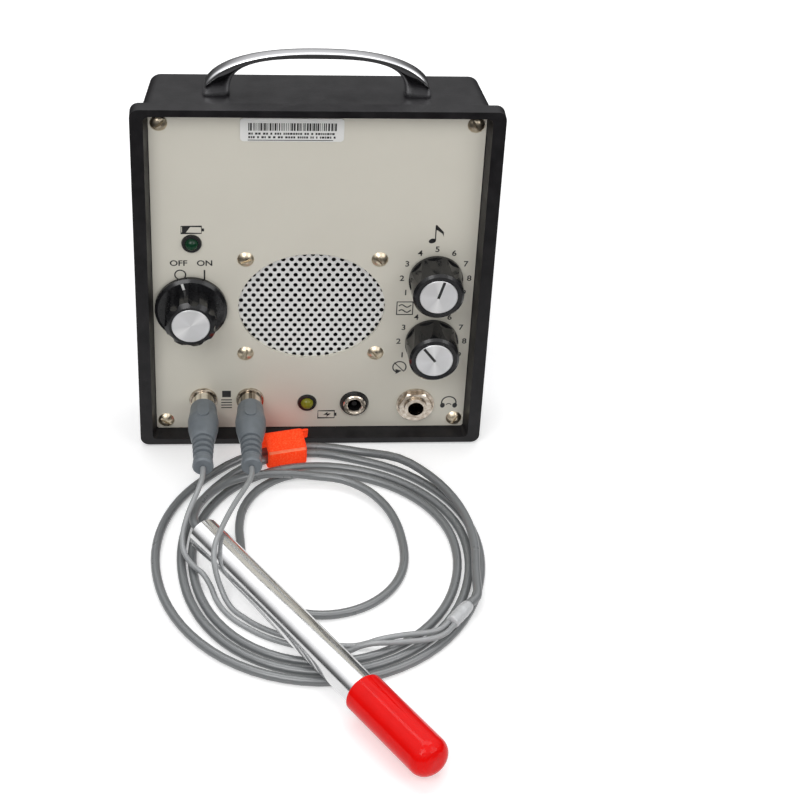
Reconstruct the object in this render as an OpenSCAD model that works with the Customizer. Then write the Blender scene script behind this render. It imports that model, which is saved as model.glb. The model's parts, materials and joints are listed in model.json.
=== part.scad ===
// Non-directional doppler: a bench unit with a carrying handle, its pencil probe and the probe's cable.
// Lengths are in millimetres. The front faces -Y, +Z is up, and z = 0 is the table.
// Places on the unit are counted from the middle of the rim's front face, and front_y puts that face
// where the origin comes to lie under the middle of the unit and the probe.

/* [Case] */
// Width of the front rim
rim_w = 140; // [120:1:160]
// Height of the front rim
rim_h = 153; // [140:1:175]
// Depth of the front rim, which is also how deep the panel lies in it
rim_d = 6; // [4:0.5:9]
// Depth of the whole case
case_d = 36; // [34:1:60]
// Step from the rim in to the body
rim_step = 3; // [2:0.5:5]
// Wall of the body
wall = 2.5; // [2:0.25:4]
// Draw-in of each side of the body towards the back
side_draft = 3.5; // [0:0.5:6]
// Corner radius of the rim
rim_r = 3.5; // [2:0.5:6]
// Corner radius of the body
body_r = 4.5; // [2:0.5:8]
// Width of the rim's face at each side
rim_side = 6.6; // [5:0.2:9]
// Width of the rim's face at the top
rim_top = 4.4; // [3:0.2:7]
// Width of the rim's face at the bottom
rim_bottom = 4.2; // [3:0.2:7]
// How far the recess opens towards the front
recess_flare = 1.6; // [0:0.2:2.5]
// Lip that the panel rests on
ledge = 2; // [1:0.25:3]
// Diameter of the corner posts that take the panel's screws
post_d = 7.4; // [6:0.2:9]

/* [Feet] */
// Diameter of a rubber foot
foot_d = 12; // [8:1:16]
// Height of the rim above the table
rim_lift = 1; // [0.5:0.25:3]
// Distance of a foot's middle from the side of the rim
foot_inset = 18; // [12:0.5:24]
// Distance between the feet from front to back
foot_gap_y = 15; // [13:1:30]

/* [Front panel] */
// Thickness of the panel
panel_t = 1.6; // [1.2:0.1:2.4]
// Gap all round the panel in its recess
panel_gap = 0.2; // [0.1:0.05:0.5]
// Distance of the corner screws from the panel's edges
corner_inset = 3.9; // [3.5:0.1:6]
// Head diameter of the slotted screws
screw_head_d = 6.6; // [5.5:0.1:7.5]
// Head height of the slotted screws
screw_head_h = 1.7; // [1.2:0.1:2.4]
// Shank diameter of the slotted screws
screw_d = 2.9; // [2.4:0.1:3.5]
// Length of a corner screw's shank
corner_screw_l = 10; // [7:1:14]
// Clearance of a screw in its hole, on the radius
screw_play = 0.2; // [0.1:0.05:0.4]

/* [Handle] */
// Distance between the handle's feet
handle_span = 76.2; // [60:0.1:90]
// Height of the handle above the case
handle_h = 17.5; // [15:0.5:30]
// Width of each leg at its foot
handle_foot_w = 10.4; // [8:0.2:14]
// Thickness of the grip at the middle
handle_mid_t = 2.6; // [2:0.1:5]
// Depth of the handle at its feet
handle_foot_d = 7.5; // [5:0.5:12]
// Depth of the grip at the middle
handle_mid_d = 5.2; // [4:0.2:10]
// Shank diameter of the handle's screws
handle_screw_d = 3.9; // [3:0.1:5]
// Head diameter of the handle's screws
handle_head_d = 7.6; // [6:0.2:9]
// How far the handle's screws reach into its feet
handle_screw_l = 4.9; // [3:0.1:5.5]

/* [Speaker] */
// Middle of the speaker, across
speaker_x = -0.8; // [-6:0.2:6]
// Middle of the speaker above the rim's bottom edge
speaker_up = 63.2; // [60:0.2:75]
// Width of the panel beside the speaker opening, on each side
speaker_side = 34.2; // [33:0.2:40]
// Height of the speaker opening
opening_h = 49.2; // [40:0.2:52]
// How far in from the opening's width the speaker's screws stand
speaker_in_x = 2.9; // [0:0.1:4]
// How far in from the opening's height the speaker's screws stand
speaker_in_z = 2.4; // [0:0.1:4]
// Pitch of the grille's holes along a row
grille_pitch = 3.3; // [3:0.1:5]
// Pitch of the grille's rows
grille_row = 2.36; // [2.2:0.02:4.5]
// Diameter of a grille hole
grille_hole = 1.85; // [1.4:0.05:2.2]
// Thickness of the grille
grille_t = 1; // [0.6:0.1:1.5]
// Thickness of the speaker's mounting flange
flange_t = 1.2; // [0.8:0.1:2]
// Metal left round the speaker's screws
speaker_border = 4.5; // [4:0.25:6]
// Corner of the speaker's flange
flange_corner = 4; // [2:0.5:5]
// Depth of the speaker's basket behind its flange
basket_d = 11; // [8:0.5:14]
// Diameter of the speaker's magnet
magnet_d = 30; // [22:1:36]
// Length of the speaker's magnet
magnet_l = 6; // [4:0.5:9]

/* [Knobs and controls] */
// Diameter of a level knob
knob_d = 21.6; // [18:0.2:24]
// How far a knob stands out of the panel
knob_h = 14; // [11:0.5:18]
// Gap between a knob and the panel
knob_gap = 0.6; // [0.4:0.1:1.2]
// Number of broad flutes round a level knob
knob_flutes = 8; // [6:1:12]
// Depth of a broad flute
flute_d = 0.7; // [0.3:0.1:1.2]
// Diameter of the bright disc on a knob
cap_d = 15; // [12:0.2:17]
// Thickness of the bright disc
cap_t = 0.8; // [0.5:0.1:1.2]
// Distance of the level knobs' middle from the right side of the rim
level_inset = 22; // [20:0.2:25]
// Height of the volume knob above the rim's bottom edge
volume_up = 76.6; // [74:0.2:90]
// Distance from the volume knob down to the suppression knob
level_gap = 30; // [28:0.5:40]
// Distance of the power knob's middle from the left side of the rim
power_inset = 21.4; // [21:0.2:23]
// Height of the power knob above the rim's bottom edge
power_up = 63.4; // [60:0.2:75]
// Diameter of the power knob's skirt
skirt_d = 28.6; // [26:0.2:30]
// Thickness of the skirt
skirt_t = 2.4; // [1.8:0.2:3.5]
// Diameter of the power knob's fluted grip
grip_d = 20.4; // [18:0.2:23]
// Number of scallops round the grip
grip_scallops = 8; // [6:1:12]
// Diameter of the control shafts
shaft_d = 6; // [5:0.1:6.4]
// Diameter of the level controls' threaded bushes
bush_d = 7.5; // [7.2:0.1:9]
// Diameter of the power switch's threaded bush
switch_bush_d = 9.4; // [8.4:0.1:10]
// Running clearance of a shaft in its bush, on the radius
shaft_play = 0.06; // [0.03:0.01:0.1]
// Diameter of a level control's body
pot_d = 16.5; // [14:0.5:20]
// Depth of a level control's body
pot_l = 9; // [7:0.5:12]
// Diameter of the power switch's body
switch_d = 23; // [20:0.5:24]
// Depth of the power switch's body
switch_l = 12; // [9:0.5:16]

/* [Lamps] */
// Diameter of a lamp's lens
lens_d = 5.2; // [4:0.1:6]
// Outer diameter of a lamp's holder
holder_d = 7.4; // [6.4:0.1:9]
// Distance of the low-battery lamp from the left side of the rim
low_lamp_inset = 22; // [17:0.2:26]
// Height of the low-battery lamp above the rim's bottom edge
low_lamp_up = 92.6; // [88:0.2:98]
// Place of the charge lamp, across
charge_lamp_x = -1.8; // [-6:0.2:2]
// Height of the charge lamp above the rim's bottom edge
charge_lamp_up = 16.5; // [13:0.2:20]

/* [Sockets] */
// Distance of the left probe socket from the left side of the rim
probe_socket_inset = 25.8; // [20:0.2:29]
// Distance between the probe sockets
probe_socket_gap = 19; // [16:0.5:24]
// Height of the probe sockets above the rim's bottom edge
probe_socket_up = 18.3; // [16:0.1:22]
// Outer diameter of a probe socket's barrel
barrel_d = 8.2; // [7.8:0.1:8.6]
// How far a probe socket's barrel stands out of the panel
barrel_l = 7.5; // [6:0.5:10]
// Distance of the charger socket from the right side of the rim
charger_inset = 52.3; // [49:0.1:56]
// Height of the charger socket above the rim's bottom edge
charger_up = 16; // [13:0.1:20]
// Bore of the charger socket
charger_bore = 5.6; // [5.5:0.1:5.8]
// Diameter of the charger socket's centre pin
charger_pin = 2.1; // [1.3:0.1:2.5]
// Depth of the charger socket's bore
charger_depth = 10; // [8:0.5:11]
// Distance of the headphone socket from the right side of the rim
phone_inset = 27; // [24:0.1:30]
// Height of the headphone socket above the rim's bottom edge
phone_up = 15.3; // [14:0.1:18]
// Bore of the headphone socket
phone_bore = 6.5; // [6.4:0.05:6.7]
// Width and height of the headphone socket's body
phone_body = 15; // [13:0.5:16]
// Thread diameter of the headphone socket's ferrule
phone_thread = 9.4; // [9:0.1:9.6]
// Depth of the headphone socket's bore
phone_depth = 26; // [20:1:30]
// Width of the headphone nut across its flats
phone_nut_w = 12.7; // [12:0.1:14]
// Thickness of the headphone nut
phone_nut_t = 2.4; // [2:0.1:3.5]

/* [Inside] */
// Distance of the circuit board's ends from the panel's sides
board_side = 9.4; // [9:0.2:14]
// Distance of the circuit board's top from the top of the rim
board_drop = 9; // [8.6:0.2:12]
// Gap between the circuit board and the lamp and the speaker below it
board_clear = 1.4; // [1:0.1:4]
// Thickness of the circuit board
board_t = 1.6; // [1:0.1:2]
// Gap between the front panel and the circuit board
board_gap = 3.4; // [3:0.1:5]
// Diameter of the board's standoffs
standoff_d = 5.5; // [5:0.5:7]
// Diameter of a battery cell
cell_d = 14.2; // [12:0.1:14.4]
// Length of a battery cell
cell_l = 44; // [40:0.5:45]
// Thickness of the clips that hold the battery cells
clip_t = 0.8; // [0.6:0.1:1]
// Length of a chip on the circuit board
chip_l = 10; // [6:0.5:12]
// Width of a chip on the circuit board
chip_w = 6.4; // [4:0.2:8]
// Height of a chip on the circuit board
chip_h = 3.2; // [1.5:0.1:3.4]
// Diameter of the capacitors on the circuit board
capacitor_d = 6.5; // [4:0.5:7]
// Height of the capacitors on the circuit board
capacitor_h = 6; // [4:0.5:6]

/* [Probe] */
// Diameter of the probe's tube
tube_d = 12.7; // [10:0.1:14]
// Length of the probe's tube
tube_l = 138; // [120:1:150]
// Wall of the probe's tube
tube_wall = 1; // [0.6:0.1:1.5]
// Outer diameter of the vinyl cap
vinyl_d = 15.3; // [14.6:0.1:17]
// Length of the vinyl cap
vinyl_l = 42; // [30:1:50]
// How far the tube reaches into the cap
vinyl_grip = 34.5; // [20:0.5:36]
// Gap between the tube and the cap, on the radius
vinyl_gap = 0.15; // [0.05:0.05:0.3]
// Radius of the cap's rounded end
vinyl_end_r = 5.5; // [3:0.5:7]
// Length of the sensing face's block in front of the tube
face_l = 8; // [5:0.5:12]
// Rounding of the sensing face's edge
face_r = 1.2; // [0.5:0.1:2.5]

/* [Plugs and cable] */
// Outer diameter of a plug's metal collar
collar_d = 9.6; // [9.4:0.1:11]
// Largest diameter of a plug's grip
plug_d = 12.4; // [11:0.1:13]
// Length of a plug from the panel to the tail of its grip
plug_l = 45.7; // [45:0.1:46]
// Number of ribs on a plug's tail
plug_ribs = 4; // [3:1:6]
// Diameter of the probe's cable
cable_d = 3.5; // [3:0.1:3.8]
// Diameter of the two leads
lead_d = 2.1; // [1.6:0.1:2.2]
// Length of the sleeve where the cable splits
sleeve_l = 12; // [8:1:12]
// Diameter of that sleeve
sleeve_d = 5.4; // [5.2:0.1:6]
// Width of the hook-and-loop tie along the cable
tie_w = 16; // [12:0.5:17]
// Thickness of the tie
tie_t = 1.3; // [1:0.1:1.5]

/* [Hidden] */

$fn = 48;
tiny = 0.01;
// Gap between pieces that rest on each other, and between the cable and the table
seat = 0.02;
cord_seat = 0.3;
floor_gap = 0.05;

rim_z = rim_lift;
body_z = rim_lift + rim_step;
body_w = rim_w - 2 * rim_step;
body_h = rim_h - 2 * rim_step;
body_top = body_z + body_h;
rim_mid = rim_z + rim_h / 2;
body_mid = body_z + body_h / 2;
panel_w = rim_w - 2 * rim_side;
panel_h = rim_h - rim_top - rim_bottom;
panel_mid = rim_z + rim_bottom + panel_h / 2;
panel_y = rim_d;
panel_back = rim_d + panel_t;
rear_inner = case_d - wall;
handle_y = rim_d + (case_d - rim_d) / 2;
corner_x = panel_w / 2 - corner_inset;
corner_z = panel_h / 2 - corner_inset;

// Places across, counted from the middle of the unit
level_x = rim_w / 2 - level_inset;
power_x = -rim_w / 2 + power_inset;
low_lamp_x = -rim_w / 2 + low_lamp_inset;
probe_socket_x = -rim_w / 2 + probe_socket_inset;
charger_x = rim_w / 2 - charger_inset;
phone_x = rim_w / 2 - phone_inset;
opening_w = panel_w - 2 * speaker_side;
speaker_gap_x = opening_w - 2 * speaker_in_x;
speaker_gap_z = opening_h - 2 * speaker_in_z;
foot_gap_x = rim_w - 2 * foot_inset;

speaker_z = rim_z + speaker_up;
power_z = rim_z + power_up;
volume_z = rim_z + volume_up;
suppression_z = volume_z - level_gap;
low_lamp_z = rim_z + low_lamp_up;
charge_lamp_z = rim_z + charge_lamp_up;
probe_socket_z = rim_z + probe_socket_up;
charger_z = rim_z + charger_up;
phone_z = rim_z + phone_up;
right_socket_x = probe_socket_x + probe_socket_gap;

// Where the probe lies: the middle of its rear end, its direction, and its height on the cable
probe_rear = [-43.7, -68.7];
probe_turn = -57.6;
probe_z = cable_d + floor_gap + seat + tube_d / 2;
probe_dir = [cos(probe_turn), sin(probe_turn)];
cap_start = tube_l - vinyl_grip;
cap_end = cap_start + vinyl_l;

// The lowest y of the cap's rounded end, and the shift that centres the unit and the probe
cap_reach = probe_rear[1] + (cap_end - vinyl_end_r) * probe_dir[1]
    - (vinyl_d / 2 - vinyl_end_r) * probe_dir[0] - vinyl_end_r;
front_y = -(cap_reach + case_d) / 2;

module placed() translate([0, front_y, 0]) children();

// Local +Z points out of the panel, and local +Y points up
module at_panel(x, z, y = panel_y) placed() translate([x, y, z]) rotate([90, 0, 0]) children();

module along_probe(s = 0)
    placed() translate([probe_rear[0], probe_rear[1], probe_z])
        rotate([0, 0, probe_turn]) rotate([0, 90, 0]) translate([0, 0, s]) children();

module rounded(w, h, r) {
    square([w - 2 * r, h], center = true);
    square([w, h - 2 * r], center = true);
    for (x = [-1, 1], y = [-1, 1]) translate([x * (w / 2 - r), y * (h / 2 - r)]) circle(r, $fn = 32);
}

// A rounded slab that faces the front, from y to y + d, with its middle at height zc
module slab(w, h, d, r, y, zc)
    translate([0, y + d, zc]) rotate([90, 0, 0]) linear_extrude(d) rounded(w, h, r);

function oval(w, h, n = 72) = [for (i = [0:n - 1]) [w / 2 * cos(i * 360 / n), h / 2 * sin(i * 360 / n)]];

module corners(dx, dz) for (x = [-1, 1], z = [-1, 1]) translate([x * dx, z * dz, 0]) children();

// Case

module case_outside() {
    slab(rim_w, rim_h, rim_d, rim_r, 0, rim_mid);
    hull() {
        slab(body_w, body_h, 0.5, body_r, rim_d, body_mid);
        slab(body_w - 2 * side_draft, body_h, 0.5, body_r, case_d - 0.5, body_mid);
    }
}

module case_inside() {
    inner_r = body_r - wall / 2;
    hull() {
        slab(body_w - 2 * wall, body_h - 2 * wall, 0.5, inner_r, panel_back + ledge, body_mid);
        slab(body_w - 2 * side_draft - 2 * wall, body_h - 2 * wall, 0.5, inner_r, rear_inner - 0.5, body_mid);
    }
    slab(panel_w - 2 * ledge, panel_h - 2 * ledge, ledge + 1, 2, panel_back - 0.5, panel_mid);
    slab(panel_w + 2 * panel_gap, panel_h + 2 * panel_gap, panel_t + tiny, 1, panel_y - tiny, panel_mid);
    hull() {
        slab(panel_w + 2 * panel_gap, panel_h + 2 * panel_gap, 0.5, 1, panel_y - 0.5, panel_mid);
        slab(panel_w + 2 * recess_flare, panel_h + 2 * recess_flare, 0.5, 2, -0.5, panel_mid);
    }
}

module case_shell() color("#232324") placed() difference() {
    union() {
        difference() {
            case_outside();
            case_inside();
        }
        translate([0, 0, panel_mid]) corners_y(corner_x, corner_z)
            translate([0, rear_inner + wall / 2, 0]) rotate([90, 0, 0])
                cylinder(d = post_d, h = rear_inner + wall / 2 - panel_back, $fn = 32);
    }
    translate([0, 0, panel_mid]) corners_y(corner_x, corner_z)
        translate([0, panel_back + corner_screw_l + 1, 0]) rotate([90, 0, 0])
            cylinder(d = screw_d + 2 * screw_play, h = corner_screw_l + 2, $fn = 24);
    for (x = [-1, 1]) translate([x * handle_span / 2, handle_y, body_top - wall - 1])
        cylinder(d = handle_screw_d + 2 * screw_play, h = wall + 2);
}

module corners_y(dx, dz) for (x = [-1, 1], z = [-1, 1]) translate([x * dx, 0, z * dz]) children();

module rubber_feet() color("#2c2c2c") placed() translate([0, handle_y, 0])
    for (x = [-1, 1], y = [-1, 1]) translate([x * foot_gap_x / 2, y * foot_gap_y / 2, 0]) {
        cylinder(d1 = foot_d - 1, d2 = foot_d, h = 0.8);
        translate([0, 0, 0.8]) cylinder(d = foot_d, h = body_z - 0.8);
    }

// Panel

module hole(x, z, d) translate([x, z, -panel_t - 1]) cylinder(d = d, h = panel_t + 2, $fn = 32);

module front_panel() color("#cfcabc") at_panel(0, 0) difference() {
    translate([0, panel_mid, -panel_t]) linear_extrude(panel_t) rounded(panel_w, panel_h, 1);
    translate([0, panel_mid, 0]) corners(corner_x, 0)
        for (s = [-1, 1]) hole(0, s * corner_z, screw_d + 2 * screw_play);
    translate([speaker_x, speaker_z, -panel_t - 1]) linear_extrude(panel_t + 2)
        polygon(oval(opening_w, opening_h));
    for (x = [-1, 1], z = [-1, 1])
        hole(speaker_x + x * speaker_gap_x / 2, speaker_z + z * speaker_gap_z / 2, screw_d + 2 * screw_play);
    hole(power_x, power_z, switch_bush_d + 0.4);
    for (z = [volume_z, suppression_z]) hole(level_x, z, bush_d + 0.4);
    hole(low_lamp_x, low_lamp_z, holder_d - 1);
    hole(charge_lamp_x, charge_lamp_z, holder_d - 1);
    for (x = [probe_socket_x, right_socket_x]) hole(x, probe_socket_z, barrel_d + 0.4);
    hole(charger_x, charger_z, charger_thread + 0.4);
    hole(phone_x, phone_z, phone_thread + 0.4);
}

label_w = 39;
label_h = 9.6;
label_x = -9.8;
label_drop = 10.8;
label_t = 0.3;

module label_plate() color("white") at_panel(label_x, rim_z + rim_h - label_drop)
    linear_extrude(label_t) rounded(label_w, label_h, 1.5);

// A binding-head screw: a low domed head with a slot, and its shank behind the panel's face
module slotted_screw(shank_l, slot_turn) {
    dome_r = (pow(screw_head_d / 2, 2) + pow(screw_head_h, 2)) / (2 * screw_head_h);
    difference() {
        intersection() {
            cylinder(d = screw_head_d, h = screw_head_h);
            translate([0, 0, screw_head_h - dome_r]) sphere(dome_r, $fn = 64);
        }
        rotate([0, 0, slot_turn]) translate([-screw_head_d, -0.45, screw_head_h - 0.8])
            cube([2 * screw_head_d, 0.9, 2]);
    }
    translate([0, 0, -shank_l]) cylinder(d = screw_d, h = shank_l + 0.1, $fn = 24);
}

corner_turns = [40, 125, -30, 60];
speaker_turns = [20, -50, 75, 130];

module panel_screws() color("#c9b487") at_panel(0, panel_mid)
    for (i = [0:3]) translate([(i % 2 == 0 ? -1 : 1) * corner_x, (i < 2 ? 1 : -1) * corner_z, 0])
        slotted_screw(corner_screw_l, corner_turns[i]);

// Handle

function arch(a, h, n, steps = 36) =
    [for (i = [0:steps]) let (t = 180 * i / steps)
        [-a * sign(cos(t)) * pow(abs(cos(t)), 2 / n), h * pow(sin(t), 2 / n)]];

module handle_side() polygon(concat(
    arch(handle_span / 2 + handle_foot_w / 2, handle_h, 2.25),
    [for (i = [36:-1:0]) arch(handle_span / 2 - handle_foot_w / 2, handle_h - handle_mid_t, 3.2)[i]]));

// Half depth of the grip seen from above, slimmest at the middle
function grip_half(x) = (handle_mid_d + (handle_foot_d - handle_mid_d) * pow(abs(x), 2.5)) / 2;

module handle_plan() {
    reach = handle_span / 2 + handle_foot_w / 2;
    steps = 24;
    polygon(concat(
        [for (i = [0:steps]) let (x = -1 + 2 * i / steps) [x * (reach + 1), -grip_half(x)]],
        [for (i = [steps:-1:0]) let (x = -1 + 2 * i / steps) [x * (reach + 1), grip_half(x)]]));
}

module handle() color("#c8c8ca") placed() translate([0, handle_y, body_top]) difference() {
    intersection() {
        translate([0, handle_foot_d, 0]) rotate([90, 0, 0]) linear_extrude(2 * handle_foot_d) handle_side();
        linear_extrude(handle_h + 1) handle_plan();
    }
    for (x = [-1, 1]) translate([x * handle_span / 2, 0, -1])
        cylinder(d = handle_screw_d + 0.1, h = handle_screw_l + 2, $fn = 32);
}

module handle_screws() color("#8d8f92") placed() for (x = [-1, 1])
    translate([x * handle_span / 2, handle_y, body_top - wall]) {
        difference() {
            translate([0, 0, -2.4]) cylinder(d = handle_head_d, h = 2.4);
            translate([-1, -handle_head_d, -3]) cube([2, 2 * handle_head_d, 1.4]);
        }
        translate([0, 0, -0.1]) cylinder(d = handle_screw_d, h = wall + handle_screw_l + 0.1, $fn = 32);
    }

// Speaker

flange_w = speaker_gap_x + 2 * speaker_border;
flange_h = speaker_gap_z + 2 * speaker_border;
basket_r = flange_h / 2 - 3;
throat_r = magnet_d / 2 - 1;
flange_z0 = -panel_t - grille_t;

module speaker_holes(t) for (x = [-1, 1], z = [-1, 1])
    translate([x * speaker_gap_x / 2, z * speaker_gap_z / 2, -t - 1])
        cylinder(d = screw_d + 2 * screw_play, h = t + 2, $fn = 24);

module speaker_grille() color("#b9babb") at_panel(speaker_x, speaker_z) difference() {
    translate([0, 0, -panel_t - grille_t]) linear_extrude(grille_t) rounded(flange_w, flange_h, flange_corner);
    translate([0, 0, -panel_t]) speaker_holes(grille_t);
    rows = ceil(opening_h / 2 / grille_row);
    cols = floor(opening_w / 2 / grille_pitch) + 1;
    for (j = [-rows:rows], i = [-cols:cols]) {
        x = (i + (j % 2 == 0 ? 0 : 0.5)) * grille_pitch;
        z = j * grille_row;
        inside = pow(x / (opening_w / 2 + grille_hole / 3), 2) + pow(z / (opening_h / 2 + grille_hole / 3), 2);
        if (inside < 1) translate([x, z, -panel_t - grille_t - 1])
            cylinder(d = grille_hole, h = grille_t + 2, $fn = 8);
    }
}

module speaker_frame() color("#4a4c4e") at_panel(speaker_x, speaker_z) difference() {
    union() {
        translate([0, 0, flange_z0 - flange_t]) linear_extrude(flange_t) rounded(flange_w, flange_h, flange_corner);
        translate([0, 0, flange_z0 - flange_t - basket_d])
            cylinder(r1 = throat_r, r2 = basket_r, h = basket_d + 0.1);
        translate([0, 0, flange_z0 - flange_t - basket_d - 1.2]) cylinder(r = throat_r, h = 1.3);
    }
    translate([0, 0, flange_z0 - flange_t - basket_d]) cylinder(r1 = throat_r - 1, r2 = basket_r - 1, h = basket_d);
    translate([0, 0, flange_z0 - flange_t - tiny]) cylinder(r = basket_r - 1, h = flange_t + 1);
    translate([0, 0, flange_z0 - flange_t - basket_d - 3]) cylinder(r = throat_r - 5, h = 5);
    for (i = [0:3]) rotate([0, 0, 45 + 90 * i]) translate([throat_r, -6, flange_z0 - flange_t - basket_d + 2])
        cube([basket_r, 12, basket_d - 4]);
    translate([0, 0, flange_z0]) speaker_holes(flange_t);
}

cone_top = flange_z0 - 0.2;
cone_r = basket_r - 1.05;

module speaker_cone() color("#2a2926") at_panel(speaker_x, speaker_z) translate([0, 0, cone_top])
    rotate_extrude() polygon([
        [0, -6], [3, -6.2], [6.5, -7.6], [cone_r - 2.4, -1], [cone_r - 1.5, -0.2], [cone_r, -0.4],
        [cone_r, -0.9], [cone_r - 2.2, -1.7], [6.5, -8.4], [6.5, -basket_d - 0.6],
        [5.9, -basket_d - 0.6], [5.9, -7.6], [3, -6.9], [0, -6.7]]);

module speaker_magnet() color("#3a3a3c") at_panel(speaker_x, speaker_z)
    translate([0, 0, flange_z0 - flange_t - basket_d - 1.2 - magnet_l]) {
        cylinder(d = magnet_d, h = magnet_l);
        cylinder(d = magnet_d - 6, h = magnet_l);
    }

speaker_screw_l = panel_t + grille_t + flange_t + 4;

module speaker_screws() color("#c9b487") at_panel(speaker_x, speaker_z)
    for (i = [0:3]) translate([(i % 2 == 0 ? -1 : 1) * speaker_gap_x / 2, (i < 2 ? 1 : -1) * speaker_gap_z / 2, 0])
        slotted_screw(speaker_screw_l, speaker_turns[i]);

module hex_nut(across, bore, h) difference() {
    cylinder(d = across / cos(30), h = h, $fn = 6);
    translate([0, 0, -1]) cylinder(d = bore, h = h + 2, $fn = 32);
}

module speaker_nuts() color("#a9abad") at_panel(speaker_x, speaker_z)
    corners(speaker_gap_x / 2, speaker_gap_z / 2)
        translate([0, 0, flange_z0 - flange_t - 2.2]) hex_nut(5.5, screw_d + 0.1, 2.2);

// Rotary controls

// Everything on a control counts from the panel's face, outwards
bush_l = 5;
nut_t = 2;

module control_body(body_d, body_l, thread_d) difference() {
    union() {
        translate([0, 0, -panel_t - body_l]) cylinder(d = body_d, h = body_l);
        translate([0, 0, -panel_t - 0.1]) cylinder(d = thread_d, h = panel_t + bush_l + 0.1);
        translate([0, -body_d / 2 - 3, -panel_t - body_l + 2]) linear_extrude(1.6)
            square([body_d * 0.6, 8], center = true);
    }
    translate([0, 0, -panel_t - body_l + 2]) cylinder(r = shaft_d / 2 + shaft_play, h = panel_t + body_l + bush_l);
}

module control_shaft(body_l) translate([0, 0, -panel_t - body_l + 2.2])
    cylinder(d = shaft_d, h = panel_t + body_l - 2.2 + knob_h - cap_t - 2.6);

module power_switch() color("#5d5a52") at_panel(power_x, power_z) control_body(switch_d, switch_l, switch_bush_d);
module volume_control() color("#6b6e70") at_panel(level_x, volume_z) control_body(pot_d, pot_l, bush_d);
module suppression_control() color("#6b6e70") at_panel(level_x, suppression_z) control_body(pot_d, pot_l, bush_d);
module power_shaft() color("#b0aa98") at_panel(power_x, power_z) control_shaft(switch_l);
module volume_shaft() color("#b0aa98") at_panel(level_x, volume_z) control_shaft(pot_l);
module suppression_shaft() color("#b0aa98") at_panel(level_x, suppression_z) control_shaft(pot_l);

module control_nuts() color("#a9abad") {
    at_panel(power_x, power_z) hex_nut(switch_bush_d + 2.8, switch_bush_d + 0.1, nut_t);
    at_panel(level_x, volume_z) hex_nut(bush_d + 3, bush_d + 0.1, nut_t);
    at_panel(level_x, suppression_z) hex_nut(bush_d + 3, bush_d + 0.1, nut_t);
}

// The hollow under a knob that clears the nut, its shaft hole, and the seat of its bright disc
module knob_inside(clear_d) {
    translate([0, 0, -1]) cylinder(d = clear_d, h = bush_l + 1.6);
    translate([0, 0, -1]) cylinder(r = shaft_d / 2 + 0.02, h = knob_h - cap_t - 1.4);
    translate([0, 0, knob_h - cap_t]) cylinder(d = cap_d + 0.1, h = cap_t + 1);
}

module level_knob(turn) rotate([0, 0, turn]) difference() {
    union() {
        translate([0, 0, knob_gap]) cylinder(d = knob_d, h = 1.4);
        translate([0, 0, knob_gap + 1.4])
            cylinder(d1 = knob_d, d2 = knob_d - 1.4, h = knob_h - knob_gap - 1.4 - 1);
        translate([0, 0, knob_h - 1]) cylinder(d1 = knob_d - 1.4, d2 = knob_d - 3.2, h = 1);
    }
    knob_inside(knob_d - 5);
    flute_r = knob_d;
    for (i = [0:knob_flutes - 1]) rotate([0, 0, 360 / knob_flutes * (i + 0.5)])
        translate([knob_d / 2 - flute_d + flute_r, 0, knob_gap + 1.4]) cylinder(r = flute_r, h = knob_h, $fn = 96);
}

module knob_disc() translate([0, 0, knob_h - cap_t]) {
    cylinder(d = cap_d, h = cap_t - 0.2);
    translate([0, 0, cap_t - 0.2]) cylinder(d1 = cap_d, d2 = cap_d - 0.4, h = 0.2);
}

// Clockwise turns of the knobs as the photograph shows them, seen from the front
volume_turn = -16;
suppression_turn = 38;
power_turn = 15;

module volume_knob() color("#1b1b1c") at_panel(level_x, volume_z) level_knob(volume_turn);
module suppression_knob() color("#1b1b1c") at_panel(level_x, suppression_z) level_knob(suppression_turn);
module volume_knob_disc() color("#d9dadb") at_panel(level_x, volume_z) knob_disc();
module suppression_knob_disc() color("#d9dadb") at_panel(level_x, suppression_z) knob_disc();
module power_knob_disc() color("#d9dadb") at_panel(power_x, power_z) knob_disc();

module power_knob() color("#1b1b1c") at_panel(power_x, power_z) rotate([0, 0, power_turn]) difference() {
    skirt_top = knob_gap + skirt_t;
    rotate_extrude() polygon([
        [0, knob_gap], [skirt_d / 2, knob_gap], [skirt_d / 2, skirt_top - 0.9], [skirt_d / 2 - 1.2, skirt_top],
        [grip_d / 2, skirt_top], [grip_d / 2, knob_h - 1.2], [cap_d / 2 + 1, knob_h], [0, knob_h]]);
    for (i = [0:grip_scallops - 1]) rotate([0, 0, 360 / grip_scallops * (i + 0.5)])
        translate([grip_d / 2 + 2.2, 0, skirt_top + 0.3]) cylinder(r = 3.3, h = knob_h, $fn = 32);
    knob_inside(grip_d - 5.4);
}

// Lamps

module lamp_holder() difference() {
    union() {
        cylinder(d1 = holder_d + 0.6, d2 = holder_d, h = 0.8);
        translate([0, 0, -panel_t - 2]) cylinder(d = holder_d - 1.4, h = panel_t + 2.1);
    }
    translate([0, 0, -panel_t - 3]) cylinder(d = lens_d + 0.1, h = panel_t + 5);
}

module lens() {
    translate([0, 0, -panel_t - 4]) cylinder(d = lens_d, h = panel_t + 4.2);
    translate([0, 0, -panel_t - 5]) cylinder(d = lens_d + 0.8, h = 1);
    translate([0, 0, 0.2]) intersection() {
        scale(lens_d / 2) sphere(1, $fn = 48);
        translate([0, 0, 0]) cylinder(d = lens_d + 1, h = lens_d);
    }
}

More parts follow.
